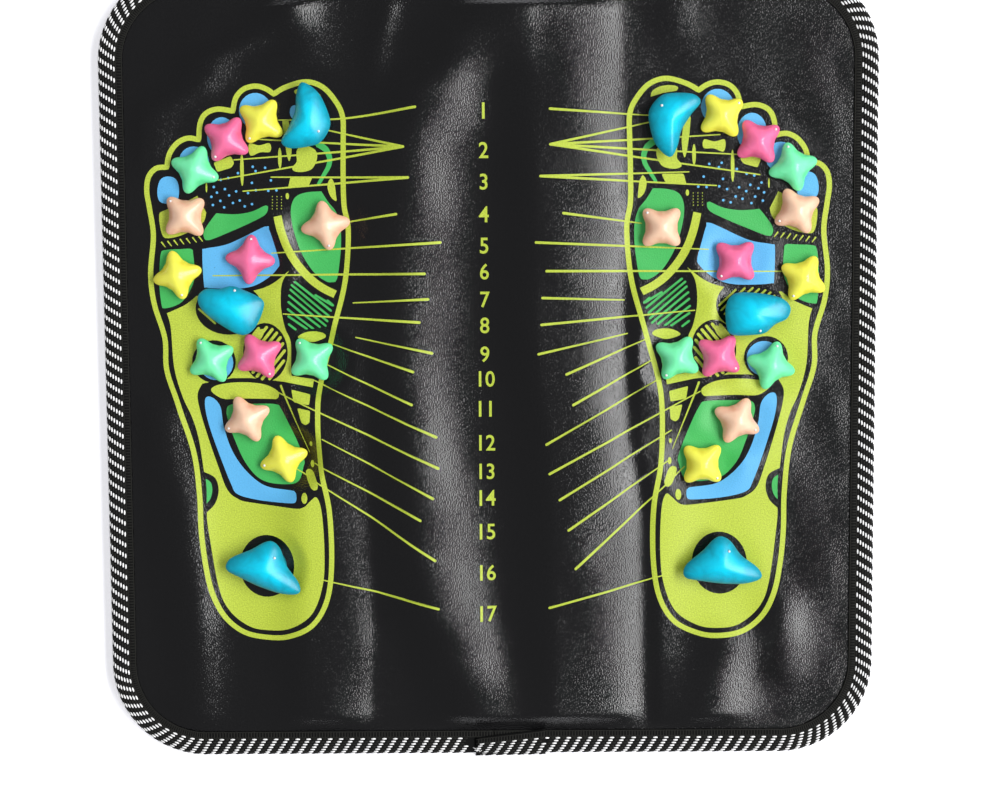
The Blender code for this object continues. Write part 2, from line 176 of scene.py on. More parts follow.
SOLE_FIELD = (
    (93, 45), (93, 45), (101, 39), (109, 36), (123.5, 33.6), (136.5, 33.5), (136.5, 33.5),
    (142, 29.3), (150.5, 25.5), (150.5, 25.5), (148.8, 18.5), (147.6, 0), (144, -13.5), (139.8, -23),
    (136.8, -33.5), (134.6, -49), (134.6, -49), (129.5, -52), (128, -58), (129.7, -64), (133.5, -68),
    (133.5, -68), (133, -76), (128.8, -103), (123.9, -115), (115, -122.6), (105.5, -124.6),
    (95, -123.4), (84.6, -116.2), (79.4, -102.5), (78.3, -86.5), (79.3, -68), (81.5, -60.8),
    (84.3, -62.3), (88, -65.6), (94, -66), (113, -63.7), (119, -62), (124, -57.5), (128, -46.5),
    (132.5, -32.5), (136, -20), (137, -12.5), (134.7, -7.5), (134.7, -7.5), (128.5, -6.3),
    (120.5, -5), (120.5, -5), (112, -5), (112, -5), (96, -6.8), (96, -6.8), (83, -9.5), (83, -9.5),
    (82.5, -5.7), (82.5, -5.7), (91.5, -4.2), (93, -2.5), (93, 11.5), (95.4, 18.5), (97.3, 29),
    (96.5, 39),
)
FOOT_SHAPES = (
    ("lime", "smooth", SOLE_FIELD),
    ("bare", "disc", (129, 2.8, 10.2, 10)),
    ("blue", "disc", (128.1, 2.3, 8.1, 8.2)),
    ("bare", "disc", (121.5, 27.5, 15.6, 12.2)),
    ("bare", "disc", (104.9, 7, 10.4, 13.7)),
    ("lime", "smooth", ((110.8, 15.2), (108.4, 17.4), (105.2, 17.6), (106.4, 14), (108.6, 11.6),
        (111, 9))),
    ("lime", "smooth", ((130.7, -10.4), (127.9, -8.3), (120.5, -7.1), (112, -7.1), (104.6, -8.3),
        (99, -11.4), (99.6, -14.6), (103.6, -14.8), (114.9, -14.6), (124, -14.8), (128.5, -12.9))),
    ("lime", "rounded", (0.7, (92.8, -10.3), (83.9, -12.6), (84.4, -17.5), (91.7, -16.1))),
    ("lime", "rounded", (0.7, (90, -18.8), (84, -20.1), (84.3, -25.7), (86.5, -26.9),
        (88.2, -25.6))),
    ("lime", "stroke", (1.0, 0.3, (97.8, -8.6), (85, -39.8))),
    ("lime", "disc", (84.1, -35.8, 0.7, 1.2)),
    ("lime", "disc", (83.6, -45.3, 0.9, 1.7)),
    ("lime", "smooth", ((86.8, -48.8), (85, -47.8), (82.9, -49.5), (80.9, -55.5), (81.9, -57.4),
        (84, -56.7), (86.3, -51.9))),
    ("lime", "disc", (87.3, -61.2, 1.4, 2.6)),
    ("blue", "smooth", ((133, -13.9), (129.7, -14.3), (126.4, -18.5), (125, -27.7), (121.8, -37.9),
        (116.9, -46.3), (110.3, -53.1), (103.7, -56.5), (92.3, -58.1), (91.3, -59.2), (91.4, -62.8),
        (94.6, -63.7), (108, -62.7), (118.9, -59.9), (122.2, -54.8), (126.9, -42.1), (131.7, -27.7),
        (133.6, -18.5))),
    ("green", "smooth", ((123.6, -20.4), (121.5, -17.4), (112, -17.1), (100.5, -17.3),
        (97.8, -19.5), (93.2, -28.8), (87.9, -42.5), (88, -47), (91, -54.1), (100.3, -54.9),
        (108.7, -52.3), (115.2, -44.7), (120.1, -33.7), (122.8, -25.3))),
    ("green", "smooth", ((133.9, -52.2), (133.9, -52.2), (131.6, -54), (130.9, -57.6),
        (131.8, -61.6), (133.6, -63.9), (133.6, -63.9), (133.5, -58))),
    ("bare", "disc", (105.9, -93.9, 12.9, 14.8)),
    ("blue", "disc", (107.6, 118.6, 7.6, 8.2)),
    ("blue", "disc", (123.3, 106.8, 6.9, 9)),
    ("blue", "disc", (136.4, 95.5, 7, 7)),
    ("blue", "smooth", ((148.6, 88.8), (144.8, 87.3), (143.6, 82.5), (144.8, 77), (149.3, 76.2),
        (152.8, 77.5), (153.7, 82), (152.2, 87.2))),
    ("blue", "disc", (89.7, 117.9, 2.1, 3.2)),
    ("lime", "smooth", ((77, 123.3), (77, 123.3), (77.7, 125.9), (80.7, 127.8), (84.5, 128.6),
        (88.5, 128.3), (89.7, 127.3), (89, 126.1), (83.6, 125.2), (79.8, 124.2))),
    ("lime", "smooth", ((110.8, 103.6), (106.2, 102.8), (101.3, 103.7), (101.1, 99.9),
        (105.7, 99.6), (110.3, 98.2))),
    ("lime", "rounded", (0.8, (127.4, 95), (119.3, 98), (117.8, 94.7), (119.2, 92.6),
        (125.8, 90.7))),
    ("lime", "smooth", ((88.5, 101), (84.5, 102.4), (80.3, 100.5), (79.5, 96.6), (81.8, 92),
        (86, 90.5), (90, 90.8), (91, 92.4), (88.9, 95.2), (89, 97.6))),
    ("lime", "rounded", (0.9, (91.9, 88.2), (81.7, 88.1), (83.6, 83.9), (93.2, 82.9))),
    ("lime", "smooth", ((73.2, 87.5), (71.6, 84.8), (71, 80), (70.9, 77), (73.6, 79.2),
        (74.9, 84.2))),
    ("green", "stroke", (3.1, 1.5, (78.8, 103.2), (75.4, 100.8), (73.7, 97), (74.1, 93.2),
        (76, 89.8), (79, 84.8))),
    ("lime", "disc", (96.7, 96.9, 0.85, 4.8)),
    ("lime", "rounded", (1.0, (95.4, 114.5), (92.4, 114.5), (91, 104), (91.4, 98), (92.4, 95),
        (93.4, 98), (94.6, 106))),
    ("lime", "disc", (114.3, 91.6, 0.85, 7.4)),
    ("lime", "disc", (130.9, 83.6, 0.4, 2.3)),
    ("lime", "disc", (93.5, 79.4, 0.8, 1.5)),
    ("green", "smooth", ((126.6, 71.7), (126.6, 71.7), (117.8, 71.2), (109.9, 72.4), (103.4, 75.2),
        (102.4, 73.6), (103.8, 70.8), (109.4, 67.8), (119.8, 63.3), (130.2, 59.3), (132.5, 60.6),
        (132.4, 63.6), (129.4, 68.2))),
    ("lime", "smooth", ((153.1, 70.9), (150.8, 73), (142, 76.4), (135.2, 79.8), (135.2, 79.8),
        (131.2, 72), (131.2, 72), (133.1, 67.1), (141.1, 62.3), (149.2, 60.3), (152, 62.3))),
    ("green", "smooth", ((152.8, 52.8), (150.6, 54.8), (144, 55.2), (138.6, 55.3), (137.7, 53),
        (137.2, 42.9), (139.1, 36.8), (142.7, 31.4), (146.7, 28.9), (151.6, 27.8), (152.9, 29.4),
        (153.7, 40))),
    ("blue", "smooth", ((133.4, 53.6), (131.9, 55.4), (121.1, 57.6), (104, 65.4), (102, 64),
        (99.9, 57.2), (97.6, 48.7), (98.6, 46), (102.3, 42.2), (108.7, 38.4), (115.4, 36.9),
        (125.2, 36.8), (131.9, 37.4), (133, 38.9))),
    ("green", "smooth", ((88.6, 79.8), (83.7, 81.2), (77.7, 81.5), (77.7, 81.5), (74.7, 76.7),
        (71.1, 72.1), (69.4, 66.7), (68.9, 61.2), (69.3, 52.2), (71, 41), (73.4, 39.5),
        (76.5, 40.1), (81.9, 44.4), (87.2, 52.9), (90.7, 63.2), (92, 71.6), (91.1, 76.9))),
    ("lime", "band", (3.7, (98, 70.2), (96.4, 63.2), (93.7, 55.5), (89.4, 48.1), (83.7, 41.4),
        (78, 37), (71.9, 33.9))),
)
GREEN_HATCH_WIDTH = 1.05
GREEN_HATCH = (
    ((90.5, 39.7), (73.9, 26.4)), ((92, 38.3), (74.9, 24)), ((92.6, 36.1), (75.5, 21.5)),
    ((93.3, 33.4), (76.4, 19.4)), ((93.7, 30.4), (79.2, 18.8)), ((94, 27.1), (82.3, 17.9)),
    ((93.7, 23.8), (85.3, 17.9)), ((93.5, 20.1), (90.5, 17.7)), ((81.1, 33.5), (73.3, 28.9)),
    ((75.4, 31), (72.9, 28.8)),
)
LIME_HATCHES = (
    {"centre": (104.9, 6.6), "radii": (9.0, 12.3), "turn": 129.0, "step": 2.65, "width": 1.4},
    {"centre": (121.5, 27.5), "radii": (14.2, 7.8), "turn": 42.0, "step": 2.35, "width": 0.95},
)
HATCH_SAMPLES = 81
HATCH_SHORTEST = 6
TOE_TICKS = {"start": (152.2, 58.4), "end": (134.8, 60.9), "count": 7, "tick": (-1.6, -2.1), "width": 0.75}
LENS_PLATE = ((89.6, 13.7), (86.7, 16), (82.2, 16.7), (77.7, 15.9), (76.5, 14.2), (78.8, 12.8), (83.4, 11.7))
LENS_GAP = 1.2
DOT_RADIUS = 0.6
BLUE_DOTS = (
    (109.3, 93), (103.6, 92.5), (108, 91), (116.2, 90.1), (120.7, 87.9), (124.2, 87.1), (101, 86.7),
    (109.8, 85.6), (127.5, 83.8), (122.4, 82.8), (126.1, 81.2), (117.2, 81.7), (108.1, 82.2),
    (102.3, 81.9), (98.5, 82.1), (111.7, 80.9), (120.5, 79.9), (128.7, 79.3), (118.8, 76.4),
    (115.6, 77.5), (124.6, 77.4), (128.1, 75.5), (122.9, 74.4), (113.3, 74.8), (109.9, 75.8),
)
LIME_DOTS = {"x": (96.2, 98.3, 100.4), "y": (79.2, 77.8, 76.4, 75, 73.6), "radius": 0.24}

# How the right foot's print departs from the left one's mirror image
FOOT_X = 114.0
RIGHT_LEAN = (-0.42, 0.0101, -0.0167, 0.0000367)
RIGHT_LEAN_Y = 7.4
RIGHT_RISE = (0.4, 0.0016)

# Leader lines from their end in the foot to their round end beside the numbers
LEADER_WIDTHS = (0.55, 1.2)
LEADERS = {
    -1: (
        ((97, 114.3), (66.4, 114.9), (33.7, 119.6)), ((80, 110.8), (39.4, 101.6)),
        ((106.7, 105.6), (39.4, 101.6)), ((118, 96.2), (39.4, 101.6)), ((125.3, 87), (39.4, 101.6)),
        ((100.9, 88.2), (37.3, 87.5)), ((114, 81.8), (37.3, 87.5)), ((68.8, 66.8), (42.9, 70.8)),
        ((101.2, 53.1), (22.8, 57.6)), ((128.7, 42.8), (30.2, 43.2)), ((63.5, 29.9), (28.7, 31.4)),
        ((96.2, 24.9), (32.8, 20.7)), ((62.4, 13.9), (27.1, 6.3)), ((73.8, 10.8), (35.9, -2.2)),
        ((75.9, 0.9), (36.6, -17.5)), ((83.1, -5.9), (25.5, -32.9)), ((99, -11.7), (24.7, -47.5)),
        ((78.6, -33.5), (27.2, -61.6)), ((82.4, -45), (33.1, -71.8)),
        ((91.4, -47.8), (76.5, -57.1), (26.4, -90.8)), ((79.2, -100.1), (25, -113.7)),
    ),
    1: (
        ((73.4, 115.5), (28.1, 118.5)), ((78, 113.2), (28.2, 102.3)), ((106.7, 106.5), (28.2, 102.3)),
        ((118, 97.2), (28.2, 102.3)), ((125.3, 88), (28.2, 102.3)), ((92.4, 89.5), (23.6, 87.8)),
        ((105.2, 83.1), (23.6, 87.8)), ((70.5, 65.9), (34.1, 70.8)), ((101.5, 53.7), (21.4, 57.4)),
        ((135.4, 43.3), (26.2, 44.2)), ((62.4, 30.5), (24.3, 31.8)), ((95.1, 25.5), (23.8, 19.4)),
        ((63.9, 14.9), (22.4, 5.8)), ((72, 12), (35.3, -3.7)), ((75.9, 2.6), (38.4, -18)),
        ((77.8, -7), (25.9, -36.4)), ((97.9, -12.3), (27.3, -50.2)), ((84.5, -30.5), (32, -62.5)),
        ((83.1, -44.9), (36.1, -76.8)), ((90.8, -47.8), (76.5, -61.3), (39.4, -95.1)),
        ((80.8, -99.2), (27.1, -113.7)),
    ),
}

# Plain numbers between the feet, from the toes to the heel
NUMBER_X = -2.5
NUMBER_HEIGHT = 7.4
NUMBER_WEIGHT = 0.012
NUMBER_NARROW = 0.92
NUMBER_ROWS = (118, 100, 85.5, 70.5, 56, 44, 31, 19, 5.5, -6, -20, -36, -49.5, -62, -78, -97.5, -117)

# Woven tape: where its woven face and its sewn strip end, as distances in from the edge
TAPE_FLANGE = 8.1
TAPE_LAP = 11.4
TAPE_THICKNESS = 0.6
TAPE_SECTION_STEP = 2.0

# Yarn floats of the tape, the white ones a little higher
FLOAT_ROWS_TOP = 7
FLOAT_ROWS_EDGE = 4
FLOAT_ROWS_UNDER = 6
FLOAT_ROWS_START = TAPE_LAP - TAPE_FLANGE + 0.75
FLOAT_HEIGHT = 0.28
FLOAT_WIDTH = 0.8
FLOAT_GAP = 0.3
FLOAT_END = 0.4
WHITE_RISE = 1.25

# Ribs of the sewn strip, from their sunk root to their narrower crest, and the cords beside them
RIB_ENDS = (TAPE_FLANGE + 0.35, TAPE_LAP - 0.25)
RIB_TOP = BINDING_Z - 0.32
RIB_PITCH = 1.35
RIB_WIDTH = 0.24
RIB_ROOT = -0.05
RIB_HEIGHT = 0.22
RIB_UNDER = 0.02
RIB_TAPER = 0.55
RIB_END_SLOPE = 0.3
CORD_RADIUS = 0.24
CORD_LIFT = 0.05

# Backing: its thickness, and its step over the tape's edge, with the rings of corners along it
BACKING_THICKNESS = 1.0
STEP_HEIGHT = 1.2
STEP_INSETS = (TAPE_LAP + 0.2, TAPE_LAP + 0.8, TAPE_LAP + 1.4)

# Lapped end of the tape, and the place where the tape below it shows no floats
LAP_LIFT = 0.85
FRAYED_THREADS = 18
FRAY_SEED = 7
LAP_GAP = (-12.5, -7.5)
LAP_NARROWER = 0.28
LAP_BULGE = 0.7
LAP_FLATTER = 0.82

# Stones, each seated just above the cover with its stem and flattened head below
STONE_SEAT = COVER_Z + COVER_LIFT + 0.05
STEM_RADIUS = 3.0
HEAD_RADIUS = 5.5
HEAD_THICKNESS = 1.2
SHARP_DEGREES = 50

# Their tops: how broad the summit is, how full the crown, and how far out a ridge is followed
SUMMIT = 0.24
CROWN = 0.76
SKIN_EDGE = 0.88

# Stars: radii at tip, waist and crown, form of the arms, taper below the widest outline, and rings
STAR_TIP = 11.5
STAR_WAIST = 7.45
STAR_ROUND = 9.0
STAR_SHARPNESS = 1.8
STAR_BLEND = 1.8
STAR_UNDERSIDE = 0.86
STAR_WIDEST = 0.27
STAR_ARMS_FROM = 0.6
STAR_FOOT_RINGS = 7
STAR_TOP_RINGS = 30
# Deeper colour of each star, for its clouds and for the shade painted on its lower sides and valleys
STAR_SHADOWS = {"yellow": "#D9C400", "magenta": "#B3285E", "green": "#2FBE6A", "peach": "#DE8560"}
STAR_COLOURS = {
    "second_toe_star": "yellow", "third_toe_star": "magenta", "fourth_toe_star": "green",
    "little_toe_star": "peach", "ball_star": "peach", "chest_star": "magenta",
    "outer_edge_star": "yellow", "waist_outer_star": "green", "waist_middle_star": "magenta",
    "waist_inner_star": "green", "arch_star": "peach", "lower_arch_star": "yellow",
}

# Gate marks: section, place along a star's arm, and that arm's direction in degrees, left then right
GATE_CORNERS = 10
GATE_PROFILE = ((0.62, -0.3), (0.60, 0.05), (0.42, 0.24), (0.15, 0.32))
GATE_REACH = 0.82
GATE_MARKS = {
    "second_toe_star": (-135, 45), "third_toe_star": (-135, 45), "fourth_toe_star": (-40, 90),
    "little_toe_star": (130, -135), "ball_star": (-80, 135), "chest_star": (85, -135),
    "outer_edge_star": (-75, -135), "waist_outer_star": (130, 100), "waist_middle_star": (-60, -45),
    "waist_inner_star": (130, -135), "arch_star": (180, 0), "lower_arch_star": (180, -45),
}

# Cyan stones: radius of the pad, turns of the left and right one in degrees, gate mark and outline
CRESCENT = {
    "pad": 6.2, "turn": (0, 171), "gate": (5.4, -5.4),
    "outline": ((-4.9, 11.5), (-5.6, 4), (-8.8, -3.6), (-12.2, -9.8), (-8.5, -12.9), (-0.2, -12.3),
                (6.3, -9.9), (10.5, -2.5), (8.7, 5.6), (4.5, 13), (-2.3, 17)),
}
PEBBLE = {
    "pad": 8.5, "turn": (0, 207), "gate": (1.6, 8.3),
    "outline": ((-12.2, 9), (-15.9, 5), (-13.5, -1.3), (-3.5, -8.9), (4.5, -12.4), (10.2, -9.3),
                (14.4, -0.5), (13.6, 4.3), (4.8, 8.8), (-0.4, 10.3), (-6, 9)),
}
PEAK = {
    "pad": 9.5, "turn": (0, 18), "gate": (4.9, 5.8),
    "outline": ((-6.5, 9.3), (-15.5, 5.6), (-18.4, 2), (-17.6, -0.9), (-12.5, -3.7), (-2.6, -8.5),
                (8, -11.9), (15.6, -11.6), (15.4, -6.5), (10, 1.5), (7.2, 9.5), (3.5, 13.1), (-0.8, 12.4)),
}
CYAN_SHAPES = {"big_toe_crescent": CRESCENT, "arch_pebble": PEBBLE, "heel_peak": PEAK}
CYAN_PAD_HEIGHT = 1.8
CYAN_WIDEST = 0.48
CYAN_OVERHANG = 0.95
CYAN_EDGE_RINGS = 6
CYAN_TOP_RINGS = 24
SIDES = {"left": -1, "right": 1}

# Camera fitted to the edges of the mat, and the studio
CAMERA_PLACE = (0.0049, 0.0672, 0.8961)
CAMERA_TURN = (-5.34, 0.0, -0.34)
CAMERA_LENS = 68.82
CAMERA_SENSOR = 36.0
FLOOR_SIZE = 40.0
FLOOR_DROP = 0.0004
KEY_PLACE = (1.80, 0.0, 1.88)
KEY_SIZE = (3.60, 1.10)
FILL_PLACE = (-0.6, 0.2, 1.4)
FILL_SIZE = (2.0, 2.0)


def linear(hexadecimal):
    """Linear red, green and blue of an sRGB hex colour such as #B8CD3C."""
    values = [int(hexadecimal[i:i + 2], 16) / 255 for i in (1, 3, 5)]
    return tuple(v / 12.92 if v <= 0.04045 else ((v + 0.055) / 1.055) ** 2.4 for v in values)


def smoothstep(value, start=0.0, end=1.0):
    """0 up to start and 1 from end on, with a soft rise between them."""
    t = np.clip((np.asarray(value, float) - start) / (end - start), 0.0, 1.0)
    return t * t * (3 - 2 * t)


# Flat outlines

def spline(points, closed=True, step=1.0):
    """Points along a Catmull-Rom curve, about a step apart. A point given twice is a corner."""
    p = np.array(points, float)
    count = len(p)
    out = []
    for i in range(count if closed else count - 1):
        if closed:
            a, b, c, d = (p[(i + k) % count] for k in (-1, 0, 1, 2))
        else:
            a, b, c, d = (p[min(max(i + k, 0), count - 1)] for k in (-1, 0, 1, 2))
        length = np.linalg.norm(c - b)
        if length < 1e-6:
            continue
        pieces = max(1, round(length / step))
        t = (np.arange(pieces) / pieces)[:, None]
        out.append(0.5 * (2 * b + (c - a) * t + (2 * a - 5 * b + 4 * c - d) * t ** 2
                          + (3 * b - a - 3 * c + d) * t ** 3))
    if not closed:
        out.append(p[-1:])
    return np.concatenate(out)


def turns(count):
    """Angles once round a circle, and the points of a unit circle at them."""
    angle = np.arange(count) * 2 * math.pi / count
    return angle, np.stack([np.cos(angle), np.sin(angle)], 1)


def travelled(line):
    """Distance along a line at each of its points."""
    return np.concatenate([[0], np.cumsum(np.linalg.norm(np.diff(line, axis=0), axis=1))])


def disc(x, y, across, along):
    """A circle or an ellipse, with more corners the larger it is."""
    _, circle = turns(max(10, round(DISC_CORNERS * math.sqrt(max(across, along)))))
    return circle * (across, along) + (x, y)


def offset(points, distance, closed=True):
    """The same line moved to its right by a distance, or by one distance for each point."""
    if closed:
        along = np.roll(points, -1, 0) - np.roll(points, 1, 0)
    else:
        along = np.gradient(points, axis=0)
    along /= np.maximum(np.linalg.norm(along, axis=1), 1e-9)[:, None]
    right = np.stack([along[:, 1], -along[:, 0]], 1)
    return points + right * np.reshape(distance, (-1, 1))


def stroke(width_start, width_end, *points):
    """A line with round ends whose width runs evenly from one end to the other."""
    line = spline(points, closed=False, step=2.0) if len(points) > 2 else np.array(points, float)
    reach = travelled(line)
    half = (width_start + (width_end - width_start) * reach / reach[-1]) / 2
    sides = [offset(line, half, closed=False), offset(line, -half, closed=False)[::-1]]
    caps = []
    for tip, way, size in ((line[-1], line[-1] - line[-2], half[-1]), (line[0], line[0] - line[1], half[0])):
        angles = math.atan2(way[1], way[0]) + np.radians((-45, 0, 45))
        caps.append(tip + size * np.stack([np.cos(angles), np.sin(angles)], 1))
    return np.concatenate([sides[0], caps[0], sides[1], caps[1]])


def band(width, *points):
    """A curved strip with square ends."""
    line = spline(points, closed=False, step=1.5)
    sides = [offset(line, width / 2, closed=False), offset(line, -width / 2, closed=False)[::-1]]
    return np.concatenate(sides)


def rounded(radius, *points):
    """A polygon whose corners are rounded by a small radius."""
    p = np.array(points, float)
    out = []
    for before, corner, after in zip(np.roll(p, 1, 0), p, np.roll(p, -1, 0)):
        start = corner + (before - corner) * radius / np.linalg.norm(before - corner)
        end = corner + (after - corner) * radius / np.linalg.norm(after - corner)
        for t in (0.0, 0.5, 1.0):
            out.append((1 - t) ** 2 * start + 2 * t * (1 - t) * corner + t * t * end)
    return np.array(out)


def hatch(centre, radii, turn, step, width):
    """Parallel strokes that fill an ellipse."""
    way = np.array([math.cos(math.radians(turn)), math.sin(math.radians(turn))])
    across = np.array([-way[1], way[0]])
    reach = max(radii)
    t = np.linspace(-reach, reach, HATCH_SAMPLES)[:, None]
    strokes = []
    for shift in np.arange(-reach, reach, step):
        line = np.array(centre) + across * shift + way * t
        kept = line[(((line - centre) / radii) ** 2).sum(1) < 1]
        if len(kept) > HATCH_SHORTEST:
            strokes.append(stroke(width, width, kept[0], kept[-1]))
    return strokes


def outline(form, data):
    """The closed loop of one printed shape."""
    if form == "smooth":
        return spline(data)
    return {"disc": disc, "stroke": stroke, "band": band, "rounded": rounded}[form](*data)


def number_loops(number, height):
    """Outlines of a plain number, centred on the origin, each outer edge anticlockwise."""
    curve = bpy.data.curves.new("number", "FONT")
    curve.body = str(number)
    curve.align_x = "CENTER"
    curve.resolution_u = 4
    curve.offset = NUMBER_WEIGHT
    text = bpy.data.objects.new("number", curve)
    bpy.context.scene.collection.objects.link(text)
    depsgraph = bpy.context.evaluated_depsgraph_get()
    mesh = bpy.data.meshes.new_from_object(text.evaluated_get(depsgraph))
    corners = np.array([v.co[:2] for v in mesh.vertices])
    directed = {key for f in mesh.polygons for key in zip(f.vertices, [*f.vertices[1:], f.vertices[0]])}
    following = {a: b for a, b in directed if (b, a) not in directed}
    loops = []
    while following:
        start, at = next(iter(following.items()))
        loop = [start]
        del following[start]
        while at != start:
            loop.append(at)
            at = following.pop(at)
        loops.append(corners[loop])
    bpy.data.objects.remove(text)
    bpy.data.curves.remove(curve)
    bpy.data.meshes.remove(mesh)
    low = min(loop[:, 1].min() for loop in loops)
    high = max(loop[:, 1].max() for loop in loops)
    scale = height / (high - low)
    return [(loop - (0, (low + high) / 2)) * (scale * NUMBER_NARROW, scale) for loop in loops]


def lean(loop, side):
    """The right foot is printed a little wider and leans outwards towards the heel."""
    if side < 0:
        return loop
    x, y = loop[:, 0], loop[:, 1]
    constant, wider, slope, bend = RIGHT_LEAN
    shift = constant + wider * (x - FOOT_X) + slope * y + bend * (y - RIGHT_LEAN_Y) ** 2
    return np.stack([x + shift, y + RIGHT_RISE[0] + RIGHT_RISE[1] * y], 1)


def print_list(side):
    """Every printed shape on one half of the mat as (ink, loops), the topmost last."""
    line, lens = spline(SOLE_LINE), spline(LENS_PLATE)
    half = SOLE_LINE_WIDTH / 2
    shapes = [("lime", [offset(line, half), offset(line, -half)[::-1]])]
    shapes += [(ink, [outline(form, data)]) for ink, form, data in FOOT_SHAPES]
    shapes += [("green", [stroke(GREEN_HATCH_WIDTH, GREEN_HATCH_WIDTH, *ends)]) for ends in GREEN_HATCH]
    shapes += [("lime", [loop]) for ellipse in LIME_HATCHES for loop in hatch(**ellipse)]
    shapes += [("bare", [offset(lens, LENS_GAP)]), ("lime", [lens])]
    for i in range(TOE_TICKS["count"]):
        t = i / (TOE_TICKS["count"] - 1)
        start = np.array(TOE_TICKS["start"]) * (1 - t) + np.array(TOE_TICKS["end"]) * t
        width = TOE_TICKS["width"]
        shapes.append(("lime", [stroke(width, width / 2, start, start + TOE_TICKS["tick"])]))
    shapes += [("blue", [disc(x, y, DOT_RADIUS, DOT_RADIUS)]) for x, y in BLUE_DOTS]
    for x in LIME_DOTS["x"]:
        shapes += [("lime", [disc(x, y, LIME_DOTS["radius"], LIME_DOTS["radius"])]) for y in LIME_DOTS["y"]]
    shapes = [(ink, [lean(loop, side) for loop in loops]) for ink, loops in shapes]
    shapes += [("lime", [stroke(*LEADER_WIDTHS, *line)]) for line in LEADERS[side]]
    return [(ink, [loop * (side, 1.0) for loop in loops]) for ink, loops in shapes]


def number_list():
    """The plain numbers beside the leader lines, as shapes that lie across the middle line."""
    return [("lime", [loop + (NUMBER_X, y) for loop in number_loops(number, NUMBER_HEIGHT)])
            for number, y in enumerate(NUMBER_ROWS, start=1)]


def winding(points, loop):
    """How often a closed loop goes round each point."""
    a = np.asarray(loop, float)
    b = np.roll(a, -1, axis=0)
    x, y = points[:, 0:1], points[:, 1:2]
    turn = (b[:, 0] - a[:, 0]) * (y - a[:, 1]) - (x - a[:, 0]) * (b[:, 1] - a[:, 1])
    up = (a[:, 1] <= y) & (b[:, 1] > y) & (turn > 0)
    down = (a[:, 1] > y) & (b[:, 1] <= y) & (turn < 0)
    return up.sum(1) - down.sum(1)


def inside(points, loops):
    """Which points the loops enclose, where loops of opposite turn cancel out."""
    low = np.min([np.min(loop, axis=0) for loop in loops], axis=0)
    high = np.max([np.max(loop, axis=0) for loop in loops], axis=0)
    near = np.nonzero(((points >= low) & (points <= high)).all(1))[0]
    result = np.zeros(len(points), bool)
    if len(near):
        result[near] = sum(winding(points[near], loop) for loop in loops) != 0
    return result


# The mat's own outline, measured along the edge from the middle of the heel end, anticlockwise

STRAIGHT_END = EDGE_X - CORNER_RADIUS
STRAIGHT_SIDE = 2 * (EDGE_Y - CORNER_RADIUS)
QUARTER = CORNER_RADIUS * math.pi / 2
HALF_EDGE = 2 * STRAIGHT_END + 2 * QUARTER + STRAIGHT_SIDE


def edge_place(distance):
    """(points on the outer edge, directions inwards) for distances along the edge."""
    s = np.abs(np.asarray(distance, float))
    sign = np.where(np.asarray(distance) < 0, -1.0, 1.0)
    middle_y = EDGE_Y - CORNER_RADIUS
    first = np.clip((s - STRAIGHT_END) / QUARTER, 0, 1) * math.pi / 2
    second = np.clip((s - STRAIGHT_END - QUARTER - STRAIGHT_SIDE) / QUARTER, 0, 1) * math.pi / 2
    turn = first + second
    side = np.clip(s - STRAIGHT_END - QUARTER, 0, STRAIGHT_SIDE)
    last = np.clip(s - (HALF_EDGE - STRAIGHT_END), 0, STRAIGHT_END)
    centre_x = np.clip(s, 0, STRAIGHT_END) - last
    centre_y = -middle_y + side
    x = centre_x + CORNER_RADIUS * np.sin(turn)
    y = centre_y - CORNER_RADIUS * np.cos(turn)
    inward = np.stack([-np.sin(turn) * sign, np.cos(turn)], -1)
    return np.stack([x * sign, y], -1), inward


def edge_distance(x, y):
    """Distance in from the mat's edge."""
    qx = np.abs(x) - (EDGE_X - CORNER_RADIUS)
    qy = np.abs(y) - (EDGE_Y - CORNER_RADIUS)
    outer = np.hypot(np.maximum(qx, 0), np.maximum(qy, 0)) + np.minimum(np.maximum(qx, qy), 0)
    return CORNER_RADIUS - outer


def half_outline(side, inset):
    """Closed anticlockwise outline of one half of the mat, at a distance in from the edge."""
    distance = np.linspace(0, HALF_EDGE, round(HALF_EDGE / RIM_STEP)) * side
    place, inward = edge_place(distance)
    rim = place + inward * inset
    rim[[0, -1], 0] = 0.0
    count = round(2 * (EDGE_Y - inset) / MIDDLE_LINE_STEP)
    middle = np.stack([np.zeros(count + 1), np.linspace(rim[-1, 1], rim[0, 1], count + 1)], 1)
    loop = np.concatenate([rim, middle[1:-1]])
    return loop if side > 0 else loop[::-1]


def fold_lines(side):
    """Narrow loops along the fold, which give a layer corners enough to bend round smoothly."""
    reach = EDGE_Y - LAYER_EDGE
    along = np.linspace(-reach, reach, round(2 * reach / COVER_GRID))
    across = np.linspace(FOLD_X - BEND_INNER, FOLD_X + BEND_OUTER, FOLD_LINES) * side
    out, back = np.zeros_like(along), along[::-1]
    return [np.concatenate([np.column_stack([out + a, along]), np.column_stack([out + b, back])])
            for a, b in zip(across[::2], across[1::2])]


def corners_mm(obj):
    """Corners of an object's mesh, in millimetres."""
    return np.array([v.co for v in obj.data.vertices]) / MM


def stem_place(node):
    """Where a stone's stem stands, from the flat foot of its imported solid."""
    corners = corners_mm(frame["nodes"][node])
    foot = corners[corners[:, 2] < corners[:, 2].min() + 0.1]
    return foot[:, :2].mean(0)


def star_turn(node):
    """Angle of a star's arms, from the fourfold wave in its packed outline."""
    arms = corners_mm(frame["nodes"][node])[:, :2] - STEMS[node]
    radius = np.linalg.norm(arms, axis=1)
    outer = radius > radius.max() * STAR_ARMS_FROM
    arms, radius = arms[outer], radius[outer]
    angle = np.arctan2(arms[:, 1], arms[:, 0])
    return np.angle(((radius - radius.mean()) * np.exp(4j * angle)).sum()) / 4


